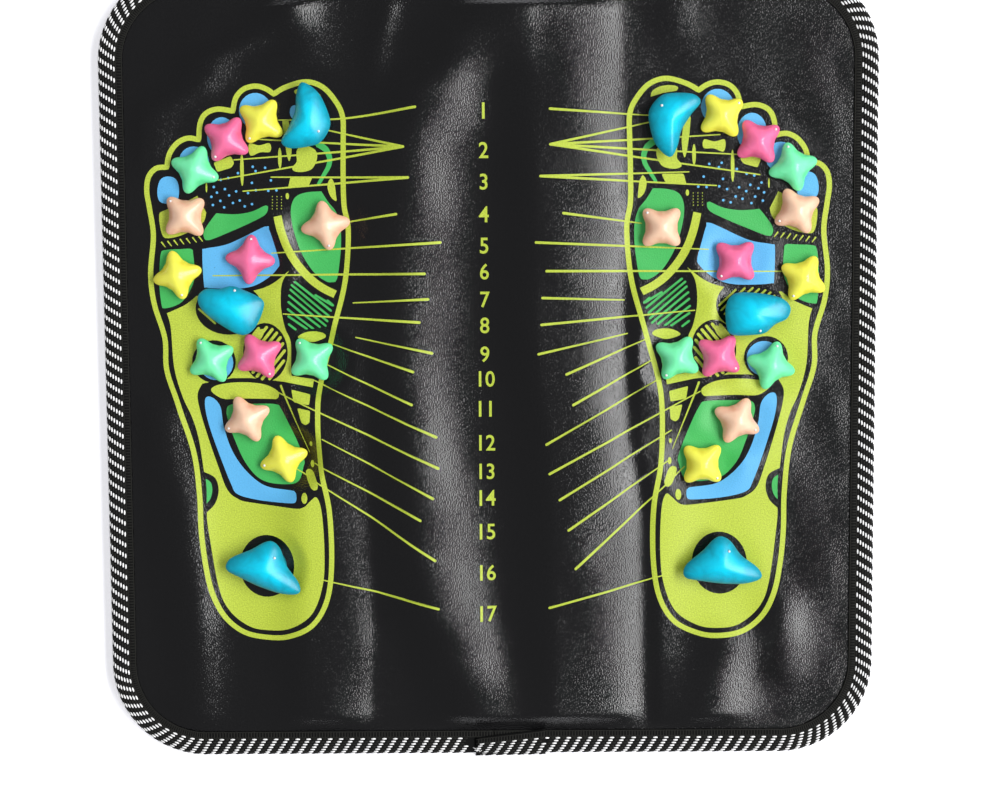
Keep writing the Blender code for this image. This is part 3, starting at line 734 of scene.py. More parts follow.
def stone_nodes(side):
    """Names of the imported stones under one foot."""
    return [f"{side}_{name}" for name in (*STAR_COLOURS, *CYAN_SHAPES)]


STEMS = {node: stem_place(node) for side in SIDES for node in stone_nodes(side)}


def relief(x, y):
    """Height in millimetres of the soft waves in the cover."""
    x, y = np.asarray(x, float), np.asarray(y, float)
    height = np.zeros(np.broadcast(x, y).shape)
    for size, left, right, creased, crest in WAVES:
        knots = np.array(sorted((py, px, share) for px, py, share in crest), float)
        at = np.clip(y, knots[0, 0], knots[-1, 0])
        k = np.clip(np.searchsorted(knots[:, 0], at) - 1, 0, len(knots) - 2)
        t = smoothstep((at - knots[k, 0]) / (knots[k + 1, 0] - knots[k, 0]))
        centre = knots[k, 1] * (1 - t) + knots[k + 1, 1] * t
        share = knots[k, 2] * (1 - t) + knots[k + 1, 2] * t
        across = (x - centre) / np.where(x < centre, left, right)
        bulge = np.exp(-across ** 2)
        if creased:
            arch = 1 - np.abs(across) ** CREASE_STEEPNESS
            soft = (arch + np.hypot(arch, CREASE_SOFTNESS)) / (1 + math.hypot(1, CREASE_SOFTNESS))
            bulge = np.where(across > 0, soft, bulge)
        height += size * share * bulge
    rng = np.random.default_rng(RIPPLE_SEED)
    for _ in range(RIPPLE_COUNT):
        turn, phase = rng.uniform(0, math.pi), rng.uniform(0, RIPPLE_PHASE)
        length = RIPPLE_LENGTH * rng.uniform(*RIPPLE_SPREAD)
        wave = (x * math.cos(turn) + y * math.sin(turn)) * 2 * math.pi / length
        height += RIPPLE_HEIGHT * np.sin(wave + phase)
    for stem in STEMS.values():
        gap = np.hypot(x - stem[0], y - stem[1])
        height *= smoothstep(gap, STONE_FLAT_RADIUS, STONE_FLAT_RADIUS + STONE_FLAT_FADE)
    return height * smoothstep(edge_distance(x, y), EDGE_FLAT, EDGE_FLAT + EDGE_FADE)


# Meshes

def new_object(name, verts, faces, smooth=True):
    """A mesh object from corners in millimetres."""
    mesh = bpy.data.meshes.new(name)
    mesh.from_pydata((np.asarray(verts, float) * MM).tolist(), [], [list(map(int, f)) for f in faces])
    mesh.update()
    if smooth:
        mesh.shade_smooth()
    obj = bpy.data.objects.new(name, mesh)
    bpy.context.scene.collection.objects.link(obj)
    return obj


def set_uv(obj, values):
    """Gives each corner of the mesh a texture place in metres, from one value for each vertex."""
    layer = obj.data.uv_layers.new(name="metres")
    index = np.zeros(len(obj.data.loops), int)
    obj.data.loops.foreach_get("vertex_index", index)
    layer.data.foreach_set("uv", (np.asarray(values, float)[index] * MM).astype(np.float32).ravel())


def add_materials(obj, materials, choice=None):
    for material in materials:
        obj.data.materials.append(material)
    if choice is not None:
        obj.data.polygons.foreach_set("material_index", np.asarray(choice, np.int32))


class Heap:
    """Collects corners and faces of many small pieces for one mesh."""

    def __init__(self):
        self.verts = []
        self.faces = []
        self.uvs = []
        self.kinds = []
        self.count = 0

    def add(self, verts, faces, uvs, kind=0):
        self.verts.append(np.asarray(verts, float))
        self.uvs.append(np.asarray(uvs, float))
        for face in faces:
            self.faces.append([i + self.count for i in face])
            self.kinds.append(kind)
        self.count += len(verts)

    def build(self, name, materials):
        obj = new_object(name, np.concatenate(self.verts), self.faces)
        set_uv(obj, np.concatenate(self.uvs))
        add_materials(obj, materials, self.kinds)
        return obj


def loft(rings, cap=True):
    """Faces that join rings of equal length, stacked in order, with a closed end at each."""
    count = len(rings[0])
    faces = []
    for r in range(len(rings) - 1):
        for i in range(count):
            j = (i + 1) % count
            faces.append((r * count + i, r * count + j, (r + 1) * count + j, (r + 1) * count + i))
    if cap:
        faces.append(list(range(count))[::-1])
        faces.append([(len(rings) - 1) * count + i for i in range(count)])
    return faces


def hexagon_grid(low, high, step):
    """Points of a grid whose every other row is shifted by half a step."""
    rows = np.arange(low[1], high[1], step * GRID_ROW)
    columns = np.arange(low[0], high[0], step)
    x, y = np.meshgrid(columns, rows)
    x = x + (np.arange(len(rows)) % 2)[:, None] * step / 2
    return np.stack([x.ravel(), y.ravel()], 1)


def slab(name, side, hole_radius, grid, top, bottom, inks=(), extra=()):
    """One half of a layer: a closed sheet between two heights, with stem holes and printed zones.

    Returns the object and its printed zone for each face, 0 where it is bare.
    """
    rim = half_outline(side, LAYER_EDGE)
    holes = []
    if hole_radius:
        node_side = "left" if side < 0 else "right"
        holes = [disc(*STEMS[node], hole_radius, hole_radius) for node in stone_nodes(node_side)]
    loose = hexagon_grid(rim.min(0), rim.max(0), grid)
    kept = edge_distance(loose[:, 0], loose[:, 1]) > LAYER_EDGE + grid * GRID_MARGIN
    kept &= loose[:, 0] * side > grid * GRID_MARGIN
    for hole in holes:
        kept &= ~inside(loose, [hole])
    inks = [(ink, loops) for ink, loops in inks if any((loop[:, 0] * side >= 0).any() for loop in loops)]
    points, edges = [], []
    for loop in [rim, *holes, *[l for _, loops in inks for l in loops], *extra]:
        base = len(points)
        points += [Vector(p) for p in loop.tolist()]
        edges += [(base + i, base + (i + 1) % len(loop)) for i in range(len(loop))]
    points += [Vector(p) for p in loose[kept].tolist()]
    flat, _, triangles, *_ = delaunay_2d_cdt(points, edges, [], 0, WELD_DISTANCE)
    flat = np.array([tuple(p) for p in flat])
    triangles = np.array(triangles)
    middle = flat[triangles].mean(1)
    kept = inside(middle, [rim])
    for hole in holes:
        kept &= ~inside(middle, [hole])
    triangles, middle = triangles[kept], middle[kept]
    used = np.unique(triangles)
    flat = flat[used]
    triangles = np.searchsorted(used, triangles)
    zone = np.zeros(len(triangles), np.int32)
    for ink, loops in inks:
        zone[inside(middle, loops)] = INKS.index(ink)
    count = len(flat)
    x, y = flat[:, 0], flat[:, 1]
    verts = np.concatenate([np.column_stack([flat, top(x, y)]), np.column_stack([flat, bottom(x, y)])])
    directed = {(int(a), int(b)) for t in triangles for a, b in ((t[0], t[1]), (t[1], t[2]), (t[2], t[0]))}
    walls = [(a, a + count, b + count, b) for a, b in sorted(directed) if (b, a) not in directed]
    faces = [*triangles.tolist(), *(triangles[:, ::-1] + count).tolist(), *walls]
    obj = new_object(name, verts, faces)
    set_uv(obj, np.concatenate([flat, flat]))
    smooth = np.ones(len(faces), bool)
    smooth[2 * len(triangles):] = False
    obj.data.polygons.foreach_set("use_smooth", smooth)
    slope_x = (top(x + SLOPE_STEP, y) - top(x - SLOPE_STEP, y)) / (2 * SLOPE_STEP)
    slope_y = (top(x, y + SLOPE_STEP) - top(x, y - SLOPE_STEP)) / (2 * SLOPE_STEP)
    up = np.column_stack([-slope_x, -slope_y, np.ones(count)])
    up /= np.linalg.norm(up, axis=1)[:, None]
    normals = np.zeros((len(obj.data.loops), 3))
    size = 3 * len(triangles)
    normals[:size] = up[triangles.ravel()]
    normals[size:2 * size] = (0, 0, -1)
    obj.data.normals_split_custom_set(normals.tolist())
    return obj, np.concatenate([zone, np.zeros(len(faces) - len(zone), np.int32)])


def fit_half(obj, side, slot, *nodes):
    """Bakes a piece of one half into place and hides the solids it replaces."""
    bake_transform(obj)
    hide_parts(*nodes)


# Materials

INKS = ("bare", "lime", "blue", "green")


def add_node(tree, kind, settings=None, sockets=None, links=None, stops=()):
    """Adds one node, sets its settings, sockets and colour stops, and links other sockets into it."""
    node = tree.nodes.new(kind)
    for name, value in (settings or {}).items():
        setattr(node, name, value)
    for name, value in (sockets or {}).items():
        node.inputs[name].default_value = value
    for name, source in (links or {}).items():
        tree.links.new(source, node.inputs[name])
    for index, (position, colour) in enumerate(stops):
        node.color_ramp.elements[index].position = position
        node.color_ramp.elements[index].color = rgba(colour)
    return node


def new_material(name, settings):
    """A Principled material with constant sockets set. Returns the material, tree and shader."""
    material = bpy.data.materials.new(name)
    material.use_nodes = True
    tree = material.node_tree
    shader = tree.nodes["Principled BSDF"]
    for socket, value in settings.items():
        shader.inputs[socket].default_value = value
    return material, tree, shader


def rgba(colour):
    """A colour with full cover."""
    return (*colour, 1.0)


def millimetres(tree, kind="UV"):
    """Texture coordinates scaled so that one unit is one millimetre."""
    place = add_node(tree, "ShaderNodeTexCoord")
    scale = add_node(tree, "ShaderNodeVectorMath", {"operation": "SCALE"}, {"Scale": 1 / MM},
                     {"Vector": place.outputs[kind]})
    return scale.outputs["Vector"]


def emboss(tree, shader, colour, height, strength, depth_mm):
    """Gives a shader its colour, and raises its surface by a height that runs from 0 to 1."""
    bump = add_node(tree, "ShaderNodeBump", {}, {"Strength": strength, "Distance": depth_mm * MM},
                    {"Height": height})
    tree.links.new(colour, shader.inputs["Base Color"])
    tree.links.new(bump.outputs["Normal"], shader.inputs["Normal"])


def leatherette(settings):
    """PU leatherette, embossed: black with a fine pebbled grain that sparkles in the sheen."""
    material, tree, shader = new_material("leatherette_embossed_pu", {"Roughness": 0.20, "IOR": 1.6})
    pebble = add_node(tree, "ShaderNodeTexNoise", {}, {"Scale": 1.0 / settings.grain, "Detail": 0.0},
                      {"Vector": millimetres(tree)})
    colour = add_node(tree, "ShaderNodeValToRGB", links={"Fac": pebble.outputs["Fac"]},
                      stops=((0.3, linear("#070708")), (0.75, settings.leather_colour)))
    emboss(tree, shader, colour.outputs["Color"], pebble.outputs["Fac"], 1.0, 0.19)
    return material


def ink(name, colour, contrast, settings):
    """Screen ink, printed: a flat satin film that lets the grain through, with tiny dark pinholes."""
    material, tree, shader = new_material(f"{name}_screen_ink_satin", {"Roughness": 0.5, "IOR": 1.5})
    place = {"Vector": millimetres(tree)}
    pebble = add_node(tree, "ShaderNodeTexNoise", {}, {"Scale": 1.0 / settings.grain, "Detail": 0.0}, place)
    film = add_node(tree, "ShaderNodeTexNoise", {}, {"Scale": 1.7, "Detail": 1.0}, place)
    holes = add_node(tree, "ShaderNodeTexNoise", {}, {"Scale": 1.6, "Detail": 2.0}, place)
    dark = tuple(c * (1 - contrast) for c in colour)
    light = tuple(min(1.0, c * (1 + contrast / 2)) for c in colour)
    body = add_node(tree, "ShaderNodeValToRGB", links={"Fac": film.outputs["Fac"]},
                    stops=((0.36, dark), (0.64, light)))
    spots = add_node(tree, "ShaderNodeValToRGB", links={"Fac": holes.outputs["Fac"]},
                     stops=((0.24, (0.4, 0.4, 0.4)), (0.32, (1, 1, 1))))
    mixed = add_node(tree, "ShaderNodeMix", {"data_type": "RGBA", "blend_type": "MULTIPLY"}, {0: 1.0},
                     {6: body.outputs["Color"], 7: spots.outputs["Color"]})
    emboss(tree, shader, mixed.outputs[2], pebble.outputs["Fac"], 1.0, 0.08)
    return material


def plastic(name, colour, deep, marble, clear, roughness):
    """Polypropylene, moulded and polished: milky and glossy, with clouds of a deeper colour, and painted
    shade in that deeper colour on the lower sides and in the valleys of each stone.
    """
    material, tree, shader = new_material(f"{name}_polypropylene_polished", {
        "Roughness": roughness, "IOR": 1.49, "Subsurface Weight": 0.35,
        "Subsurface Radius": (1.0, 1.0, 1.0), "Subsurface Scale": 0.0022, "Transmission Weight": clear,
    })
    # Painted shade: each corner's share of the deeper colour where the stone would lie in shade, added to the
    # clouds
    shade = add_node(tree, "ShaderNodeAttribute", {"attribute_name": "painted_shade"})
    cloud = add_node(tree, "ShaderNodeTexNoise", {}, {"Scale": 0.12, "Detail": 2.0, "Distortion": 1.5},
                     {"Vector": millimetres(tree, "Object")})
    clouds_and_painted_shade = add_node(tree, "ShaderNodeMath", {"operation": "MULTIPLY_ADD"}, {1: marble},
                     {0: cloud.outputs["Fac"], 2: shade.outputs["Fac"]})
    depth = add_node(tree, "ShaderNodeValToRGB", links={"Fac": clouds_and_painted_shade.outputs["Value"]},
                     stops=((0.34, colour), (1.15, deep)))
    tree.links.new(depth.outputs["Color"], shader.inputs["Base Color"])
    return material


def woven(name, colour, thread_mm, gloss):
    """Polyester yarn, woven: matt, with fine filaments along each thread."""
    material, tree, shader = new_material(f"{name}_polyester_woven", {
        "Roughness": 0.85, "IOR": 1.3, "Sheen Weight": gloss, "Sheen Roughness": 0.5,
    })
    filament = add_node(tree, "ShaderNodeTexNoise", {},
                        {"Scale": 1 / thread_mm, "Detail": 3.0, "Distortion": 0.4},
                        {"Vector": millimetres(tree)})
    shade = add_node(tree, "ShaderNodeValToRGB", links={"Fac": filament.outputs["Fac"]},
                     stops=((0.3, tuple(c * 0.8 for c in colour)), (0.6, colour)))
    emboss(tree, shader, shade.outputs["Color"], filament.outputs["Fac"], 0.7, 0.06)
    return material


def backing_cloth():
    """Polyester, non-woven and dimpled: dull charcoal, matted fibres and rows of pressed dimples."""
    material, tree, shader = new_material("backing_polyester_nonwoven", {
        "Roughness": 0.9, "IOR": 1.5, "Sheen Weight": 0.2,
    })
    place = {"Vector": millimetres(tree)}
    fibres = add_node(tree, "ShaderNodeTexNoise", {},
                      {"Scale": 0.9, "Detail": 6.0, "Roughness": 0.7, "Distortion": 1.5}, place)
    dimples = add_node(tree, "ShaderNodeTexVoronoi", {"feature": "F1"},
                       {"Scale": 0.5, "Randomness": 0.0}, place)
    pressed = add_node(tree, "ShaderNodeMath", {"operation": "MINIMUM"}, {1: 0.42},
                       {0: dimples.outputs["Distance"]})
    height = add_node(tree, "ShaderNodeMath", {"operation": "MULTIPLY_ADD"}, {1: 1.6},
                      {0: pressed.outputs["Value"], 2: fibres.outputs["Fac"]})
    shade = add_node(tree, "ShaderNodeValToRGB", links={"Fac": fibres.outputs["Fac"]},
                     stops=((0.3, linear("#1A1B1D")), (0.75, linear("#34363A"))))
    emboss(tree, shader, shade.outputs["Color"], height.outputs["Value"], 0.8, 0.15)
    return material


def foam():
    """Polyethylene foam, cut: dark grey with small open cells."""
    material, tree, shader = new_material("polyethylene_foam_cut", {"Roughness": 0.95, "IOR": 1.5})
    cells = add_node(tree, "ShaderNodeTexVoronoi", {}, {"Scale": 1.6},
                     {"Vector": millimetres(tree, "Object")})
    shade = add_node(tree, "ShaderNodeValToRGB", links={"Fac": cells.outputs["Distance"]},
                     stops=((0.1, linear("#2A2B2E")), (0.6, linear("#4A4C50"))))
    emboss(tree, shader, shade.outputs["Color"], cells.outputs["Distance"], 0.6, 0.1)
    return material


# Cover, foam and backing

def make_cover(settings):
    """The printed cover in two halves, with its waves."""
    cover = COVER_Z + COVER_LIFT
    materials = [leatherette(settings), ink("lime", settings.lime, 0.18, settings),
                 ink("blue", settings.blue, 0.06, settings), ink("green", settings.green, 0.08, settings)]
    numbers = number_list()
    for name, side in SIDES.items():
        obj, zone = slab(
            f"cover_{name}", side, STEM_RADIUS + STEM_GAP, COVER_GRID,
            lambda x, y: cover + relief(x, y) * settings.wave,
            lambda x, y: cover - COVER_THICKNESS + relief(x, y) * settings.wave,
            print_list(side) + numbers, fold_lines(side),
        )
        add_materials(obj, materials, zone)
        fit_half(obj, side, "cover_leatherette", f"top_cover_{name}", "top_cover_middle")


def rim_lift(x, y):
    """Step up of the backing over the part of the binding that is folded under it."""
    return STEP_HEIGHT * (1 - smoothstep(edge_distance(x, y), STEP_INSETS[0], STEP_INSETS[-1]))


def make_layers():
    """The backing and the foam in two halves each."""
    cloth, padding = backing_cloth(), foam()
    for name, side in SIDES.items():
        rings = [half_outline(side, inset) for inset in STEP_INSETS] + fold_lines(side)
        obj, _ = slab(f"backing_{name}", side, 0, INNER_GRID,
                      lambda x, y: BACKING_THICKNESS + rim_lift(x, y), rim_lift, extra=rings)
        add_materials(obj, [cloth])
        fit_half(obj, side, "backing", f"base_sheet_{name}", "base_sheet_middle")
        obj, _ = slab(f"foam_{name}", side, HEAD_RADIUS + HEAD_GAP, INNER_GRID,
                      lambda x, y: FOAM_HIGH + 0 * x, lambda x, y: FOAM_LOW + rim_lift(x, y), extra=rings)
        add_materials(obj, [padding])
        fit_half(obj, side, "foam", f"foam_core_{name}", "foam_core_middle")


# Edge binding

def tape_section():
    """Outer side of the folded tape from its ribbed inner edge, over the roll and round to below."""
    top = BINDING_Z
    flange = ((TAPE_LAP, top - 0.75), (TAPE_LAP - 0.1, top - 0.35), (TAPE_FLANGE + 0.3, top - 0.3))
    roll = ((TAPE_FLANGE - 0.3, top - 0.22), (6.6, top + 0.22), (4.8, top + 0.36), (3.0, top + 0.25),
            (1.5, top - 0.3), (0.5, top - 1.4), (0.0, top / 2), (0.45, 1.7), (1.4, 0.62), (2.8, 0.12),
            (4.4, 0.0))
    under = ((TAPE_FLANGE, 0.0), (TAPE_LAP, 0.0))
    return spline([*flange, *roll, *under], closed=False, step=0.7)


def section_normals(section):
    """Directions that point out of the tape at each point of its section."""
    along = np.gradient(section, axis=0)
    along /= np.linalg.norm(along, axis=1)[:, None]
    return np.stack([-along[:, 1], along[:, 0]], 1) * -1


def tape_points(distance, section):
    """Corners of the section swept to each distance along the edge."""
    place, inward = edge_place(distance)
    flat = place[:, None, :] + inward[:, None, :] * section[None, :, 0:1]
    height = np.broadcast_to(section[None, :, 1:2], (len(distance), len(section), 1))
    return np.concatenate([flat, height], 2)


def tape_body(heap, start, end, lift):
    """The ground of the tape: a folded strip with its real thickness, closed all round."""
    outer = tape_section()
    normal = section_normals(outer)
    length = travelled(outer)
    outer = outer + normal * lift
    inner = (outer - normal * TAPE_THICKNESS)[::-1]
    across = np.concatenate([length, length[::-1]])
    distance = np.linspace(start, end, round(abs(end - start) / TAPE_SECTION_STEP) + 1)
    rings = tape_points(distance, np.concatenate([outer, inner]))
    if end < start:
        rings = rings[::-1]
        distance = distance[::-1]
    faces = [f[::-1] for f in loft(rings)]
    uvs = np.stack(np.broadcast_arrays(distance[:, None], across[None, :]), -1)
    heap.add(rings.reshape(-1, 3), faces, uvs.reshape(-1, 2))


def place_on_tape(distance, reach, section, normals, lengths):
    """(point, along the edge, across the tape, outwards) at a distance and a reach over the section."""
    k = np.interp(reach, lengths, np.arange(len(lengths)))
    spot, out = (np.array([np.interp(k, np.arange(len(section)), values[:, i]) for i in (0, 1)])
                 for values in (section, normals))
    out /= np.linalg.norm(out)
    place, inward = edge_place(distance)
    point = np.array([*(place + inward * spot[0]), spot[1]])
    outwards = np.array([*(inward * out[0]), out[1]])
    along = np.array([inward[1], -inward[0], 0.0])
    return point, along, np.cross(outwards, along), outwards


PILL_RINGS = ((-0.68, 0.72), (0.0, 1.0), (0.68, 0.72))
PILL_ROOT = 0.4
PILL_SECTION = ((1.0, -0.5), (0.62, 0.75), (-0.62, 0.75), (-1.0, -0.5))


def pill(point, along, across, outwards, length, width, height):
    """Corners and faces of one raised yarn float."""
    verts = [point - along * length / 2 - outwards * height * PILL_ROOT]
    for shift, size in PILL_RINGS:
        for a, b in PILL_SECTION:
            verts.append(point + along * length / 2 * shift + across * width / 2 * a * size
                         + outwards * height * (b if b < 0 else b * size))
    verts.append(point + along * length / 2 - outwards * height * PILL_ROOT)
    faces = []
    for i in range(4):
        j = (i + 1) % 4
        faces.append((0, 1 + j, 1 + i))
        for r in (0, 1):
            faces.append((1 + 4 * r + i, 1 + 4 * r + j, 5 + 4 * r + j, 5 + 4 * r + i))
        faces.append((9 + i, 9 + j, 13))
    return verts, faces


def tape_floats(heap, start, end, lift, settings, skip=()):
    """Rows of yarn floats: white ones stepped into slanting stripes, with black ones between them."""
    section = tape_section()
    normals = section_normals(section)
    lengths = travelled(section)
    low, high = min(start, end), max(start, end)
    pitch = settings.stripe_pitch
    white = settings.float_length
    kinds = ((1, 0.0, white, WHITE_RISE), (2, 0.5, pitch - white - FLOAT_GAP, 1.0))
    for row in range(FLOAT_ROWS_TOP + FLOAT_ROWS_EDGE + FLOAT_ROWS_UNDER):
        reach = FLOAT_ROWS_START + row * settings.row_pitch
        if reach > lengths[-1] - (TAPE_LAP - TAPE_FLANGE):
            break
        shift = -row * settings.stripe_step
        for k in range(math.ceil((low - shift) / pitch - 0.5), math.floor((high - shift) / pitch) + 1):
            for kind, part, length, rise in kinds:
                at = shift + (k + part) * pitch
                if not low + FLOAT_END < at < high - FLOAT_END or any(a < at < b for a, b in skip):
                    continue
                if kind == 2 and row >= FLOAT_ROWS_TOP + FLOAT_ROWS_EDGE:
                    continue
                point, along, across, outwards = place_on_tape(at, reach, section, normals, lengths)
                verts, faces = pill(point + outwards * lift, along, across, outwards, length,
                                    settings.row_pitch * FLOAT_WIDTH, FLOAT_HEIGHT * rise)
                heap.add(verts, faces, [(at, reach)] * len(verts), kind)


def tape_ribs(heap, start, end, lift):
    """The sewn inner strip: a ladder of small ribs between two fine cords, above and below."""
    low, high = min(start, end), max(start, end)
    outer, inner = RIB_ENDS
    for at in np.arange(math.ceil(low / RIB_PITCH) * RIB_PITCH, high, RIB_PITCH):
        place, inward = edge_place(at)
        along = np.array([inward[1], -inward[0]])
        for height, up in ((RIB_TOP + lift, 1), (0.0, -1)):
            verts = []
            for spread, z in ((1.0, RIB_ROOT), (RIB_TAPER, RIB_HEIGHT)):
                for a, b in ((-1, outer), (1, outer), (1, inner), (-1, inner)):
                    flat = place + inward * (b - (b - (outer + inner) / 2) * (1 - spread) * RIB_END_SLOPE)
                    flat = flat + along * a * RIB_PITCH * RIB_WIDTH * spread
                    verts.append((*flat, height + up * (z if up > 0 else min(z, RIB_UNDER))))
            walls = [(i, (i + 1) % 4, 4 + (i + 1) % 4, 4 + i) for i in range(4)]
            faces = [(4, 5, 6, 7), (3, 2, 1, 0), *walls]
            if up < 0:
                faces = [f[::-1] for f in faces]
            heap.add(verts, faces, [(at, 0)] * 8, 2)
    distance = np.linspace(low, high, round((high - low) / TAPE_SECTION_STEP) + 1)
    place, inward = edge_place(distance)
    angles = np.radians(np.arange(0, 360, 60))
    for inset in (outer, inner):
        rings = []
        for p, n in zip(place, inward):
            centre = np.array([*(p + n * inset), RIB_TOP + lift + CORD_LIFT])
            rings.append([centre + np.array([*(n * math.cos(a)), math.sin(a)]) * CORD_RADIUS for a in angles])
        rings = np.array(rings)
        faces = [f[::-1] for f in loft(rings)]
        uvs = np.repeat(np.stack([distance, distance * 0 + inset], 1), len(angles), axis=0)
        heap.add(rings.reshape(-1, 3), faces, uvs, 2)


def tape_materials(settings):
    """Ground of the tape, white floats and black yarn, in the order of the heap's kinds."""
    return [woven("binding_ground", settings.ground, 0.35, 0.0),
            woven("white_yarn", settings.float_colour, 0.22, 0.2),
            woven("black_yarn", settings.black_yarn, 0.3, 0.05)]


def make_binding(settings):
    """The tape round the edge, in two halves that meet at the heel and the toes."""
    materials = tape_materials(settings)
    for name, side in SIDES.items():
        heap = Heap()
        end = side * HALF_EDGE
        tape_body(heap, 0.0, end, 0.0)
        skip = [LAP_GAP] if side < 0 else [(LAP_LOW[0], LAP_HIGH[0])]
        tape_floats(heap, 0.0, end, 0.0, settings, skip)
        tape_ribs(heap, 0.0, end, 0.0)
        obj = heap.build(f"binding_{name}", materials)
        fit_half(obj, side, "binding_tape", f"edge_binding_{name}", "edge_binding_toe_end",
                 "edge_binding_heel_end")


def thread(heap, points, radius, kind):
    """One loose thread end as a thin tube."""
    line = spline(points, closed=False, step=0.5)
    angles = np.radians((0, 90, 180, 270))
    rings = []
    for p, along in zip(line, np.gradient(line, axis=0)):
        along = along / np.linalg.norm(along)
        side = np.cross(along, (0.3, 0.2, 0.93))
        side /= np.linalg.norm(side)
        other = np.cross(along, side)
        rings.append([p + radius * (side * math.cos(a) + other * math.sin(a)) for a in angles])
    rings = np.array(rings)
    heap.add(rings.reshape(-1, 3), loft(rings), [(0, 0)] * (4 * len(rings)), kind)


def slide_outwards(heap, start, end):
    """Draws the lapped end out over the edge, most at its cut, and flattens its lower half on the floor."""
    section = tape_section()
    top = section[section[:, 1] > BINDING_Z / 2][::-1]
    for verts in heap.verts:
        share = np.clip((end - verts[:, 0]) / (end - start), 0, 1)
        inset = verts[:, 1] + EDGE_Y
        moved = inset * (1 - LAP_NARROWER * share) - LAP_BULGE * share
        rise = np.interp(moved, top[:, 0], top[:, 1]) - np.interp(inset, top[:, 0], top[:, 1])
        above = verts[:, 2] - BINDING_Z / 2
        verts[:, 2] = BINDING_Z / 2 + np.where(above > 0, above + rise, above * LAP_FLATTER)
        verts[:, 1] = moved - EDGE_Y


def make_lap_end(settings):
    """The end of the tape that laps over its beginning at the heel, with frayed threads at the cut."""
    heap = Heap()
    start, end = LAP_LOW[0], LAP_HIGH[0]
    tape_body(heap, start, end, LAP_LIFT)
    tape_floats(heap, start, end, LAP_LIFT, settings)
    tape_ribs(heap, start, end, LAP_LIFT)
    slide_outwards(heap, start, end)
    rng = random.Random(FRAY_SEED)
    for i in range(FRAYED_THREADS):
        inset = rng.uniform(-0.6, 4.5)
        y = -EDGE_Y + inset
        z = BINDING_Z + 0.6 if inset > 1.5 else rng.uniform(3.0, 5.5)
        root = (start + rng.uniform(0.0, 3.5), y, z)
        reach = rng.uniform(1.2, 3.4)
        turn = rng.uniform(math.pi * 0.95, math.pi * 1.8)
        tip = (root[0] + reach * math.cos(turn), y + reach * math.sin(turn) * 0.8, z - rng.uniform(-0.5, 1.2))
        middle = ((root[0] + tip[0]) / 2 + rng.uniform(-0.6, 0.6), (y + tip[1]) / 2 - 0.2, z + 0.5)
        thread(heap, [root, middle, tip], rng.uniform(0.10, 0.17), 1 if i % 3 else 2)
    obj = heap.build("binding_lap", tape_materials(settings))
    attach(obj, "middle_panel")
    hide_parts("binding_lap_end")


# Stones

def stone_object(name, rings, shades, place, turn, low, material):
    """A closed stone from rings about its stem, turned and set in its place."""
    rings = np.array(rings, float)
    count = rings.shape[1]
    cos, sin = math.cos(turn), math.sin(turn)
    flat = rings[..., :2] @ np.array([[cos, sin], [-sin, cos]]) + place
    verts = np.concatenate([flat, rings[..., 2:3] + low], 2).reshape(-1, 3)
    apex = verts[-count:].mean(0)
    faces = loft(rings, cap=False)
    last = (len(rings) - 1) * count
    faces += [(last + i, last + (i + 1) % count, len(verts)) for i in range(count)]
    faces.append(list(range(count))[::-1])
    obj = new_object(name, np.concatenate([verts, [apex]]), faces)
    obj.data.set_sharp_from_angle(angle=math.radians(SHARP_DEGREES))
    # Painted shade: how much of the deeper colour each corner gets, for its shaded lower sides and valleys
    shade = obj.data.attributes.new("painted_shade", "FLOAT", "POINT")
    values = np.concatenate([np.array(shades, float).ravel(), [np.mean(shades[-1])]])
    shade.data.foreach_set("value", values.astype(np.float32))
    add_materials(obj, [material])
    return obj


def ring(circle, radius, height):
    """Points round a circle at one radius and height, or at those of each point."""
    return np.column_stack([circle * np.reshape(radius, (-1, 1)), np.full(len(circle), height)])


def stem_rings(circle, foot):
    """Flattened head and stem below a stone, from the bottom up."""
    rows = ((HEAD_RADIUS - 0.3, 0.0), (HEAD_RADIUS, 0.3), (HEAD_RADIUS, HEAD_THICKNESS),
            (STEM_RADIUS, HEAD_THICKNESS), (STEM_RADIUS, foot))
    return [ring(circle, radius, height) for radius, height in rows]


def dome(out):
    """Share of the height at a share of the way out: a rounded cone that turns down steeply at its rim."""
    fall = (np.hypot(out, SUMMIT) - SUMMIT) / (math.hypot(1, SUMMIT) - SUMMIT)
    return np.clip(1 - fall, 0, 1) ** CROWN


def blown_rings(reach, circle, skin, widest, total):
    """Rings of a soft top that closes over an outline, and the share of the height each has risen."""
    rings, rises = [], []
    for t in [*np.linspace(0, 1, CYAN_TOP_RINGS)[:-1], 0.985]:
        size = math.cos(t * math.pi / 2)
        inner = circle * (reach * min(size, SKIN_EDGE))[:, None]
        blown = np.clip(skin(inner[:, 0], inner[:, 1]), 0, 1) * min(1.0, (1 - size) / (1 - SKIN_EDGE))
        level = np.clip((blown + 1 - size ** 2) / (1 + skin(0.0, 0.0)), 0, 1)
        rise = dome(np.sqrt(1 - level))
        rings.append(ring(circle, reach * size, widest + (total - widest) * rise))
        rises.append(rise)
    return rings, rises


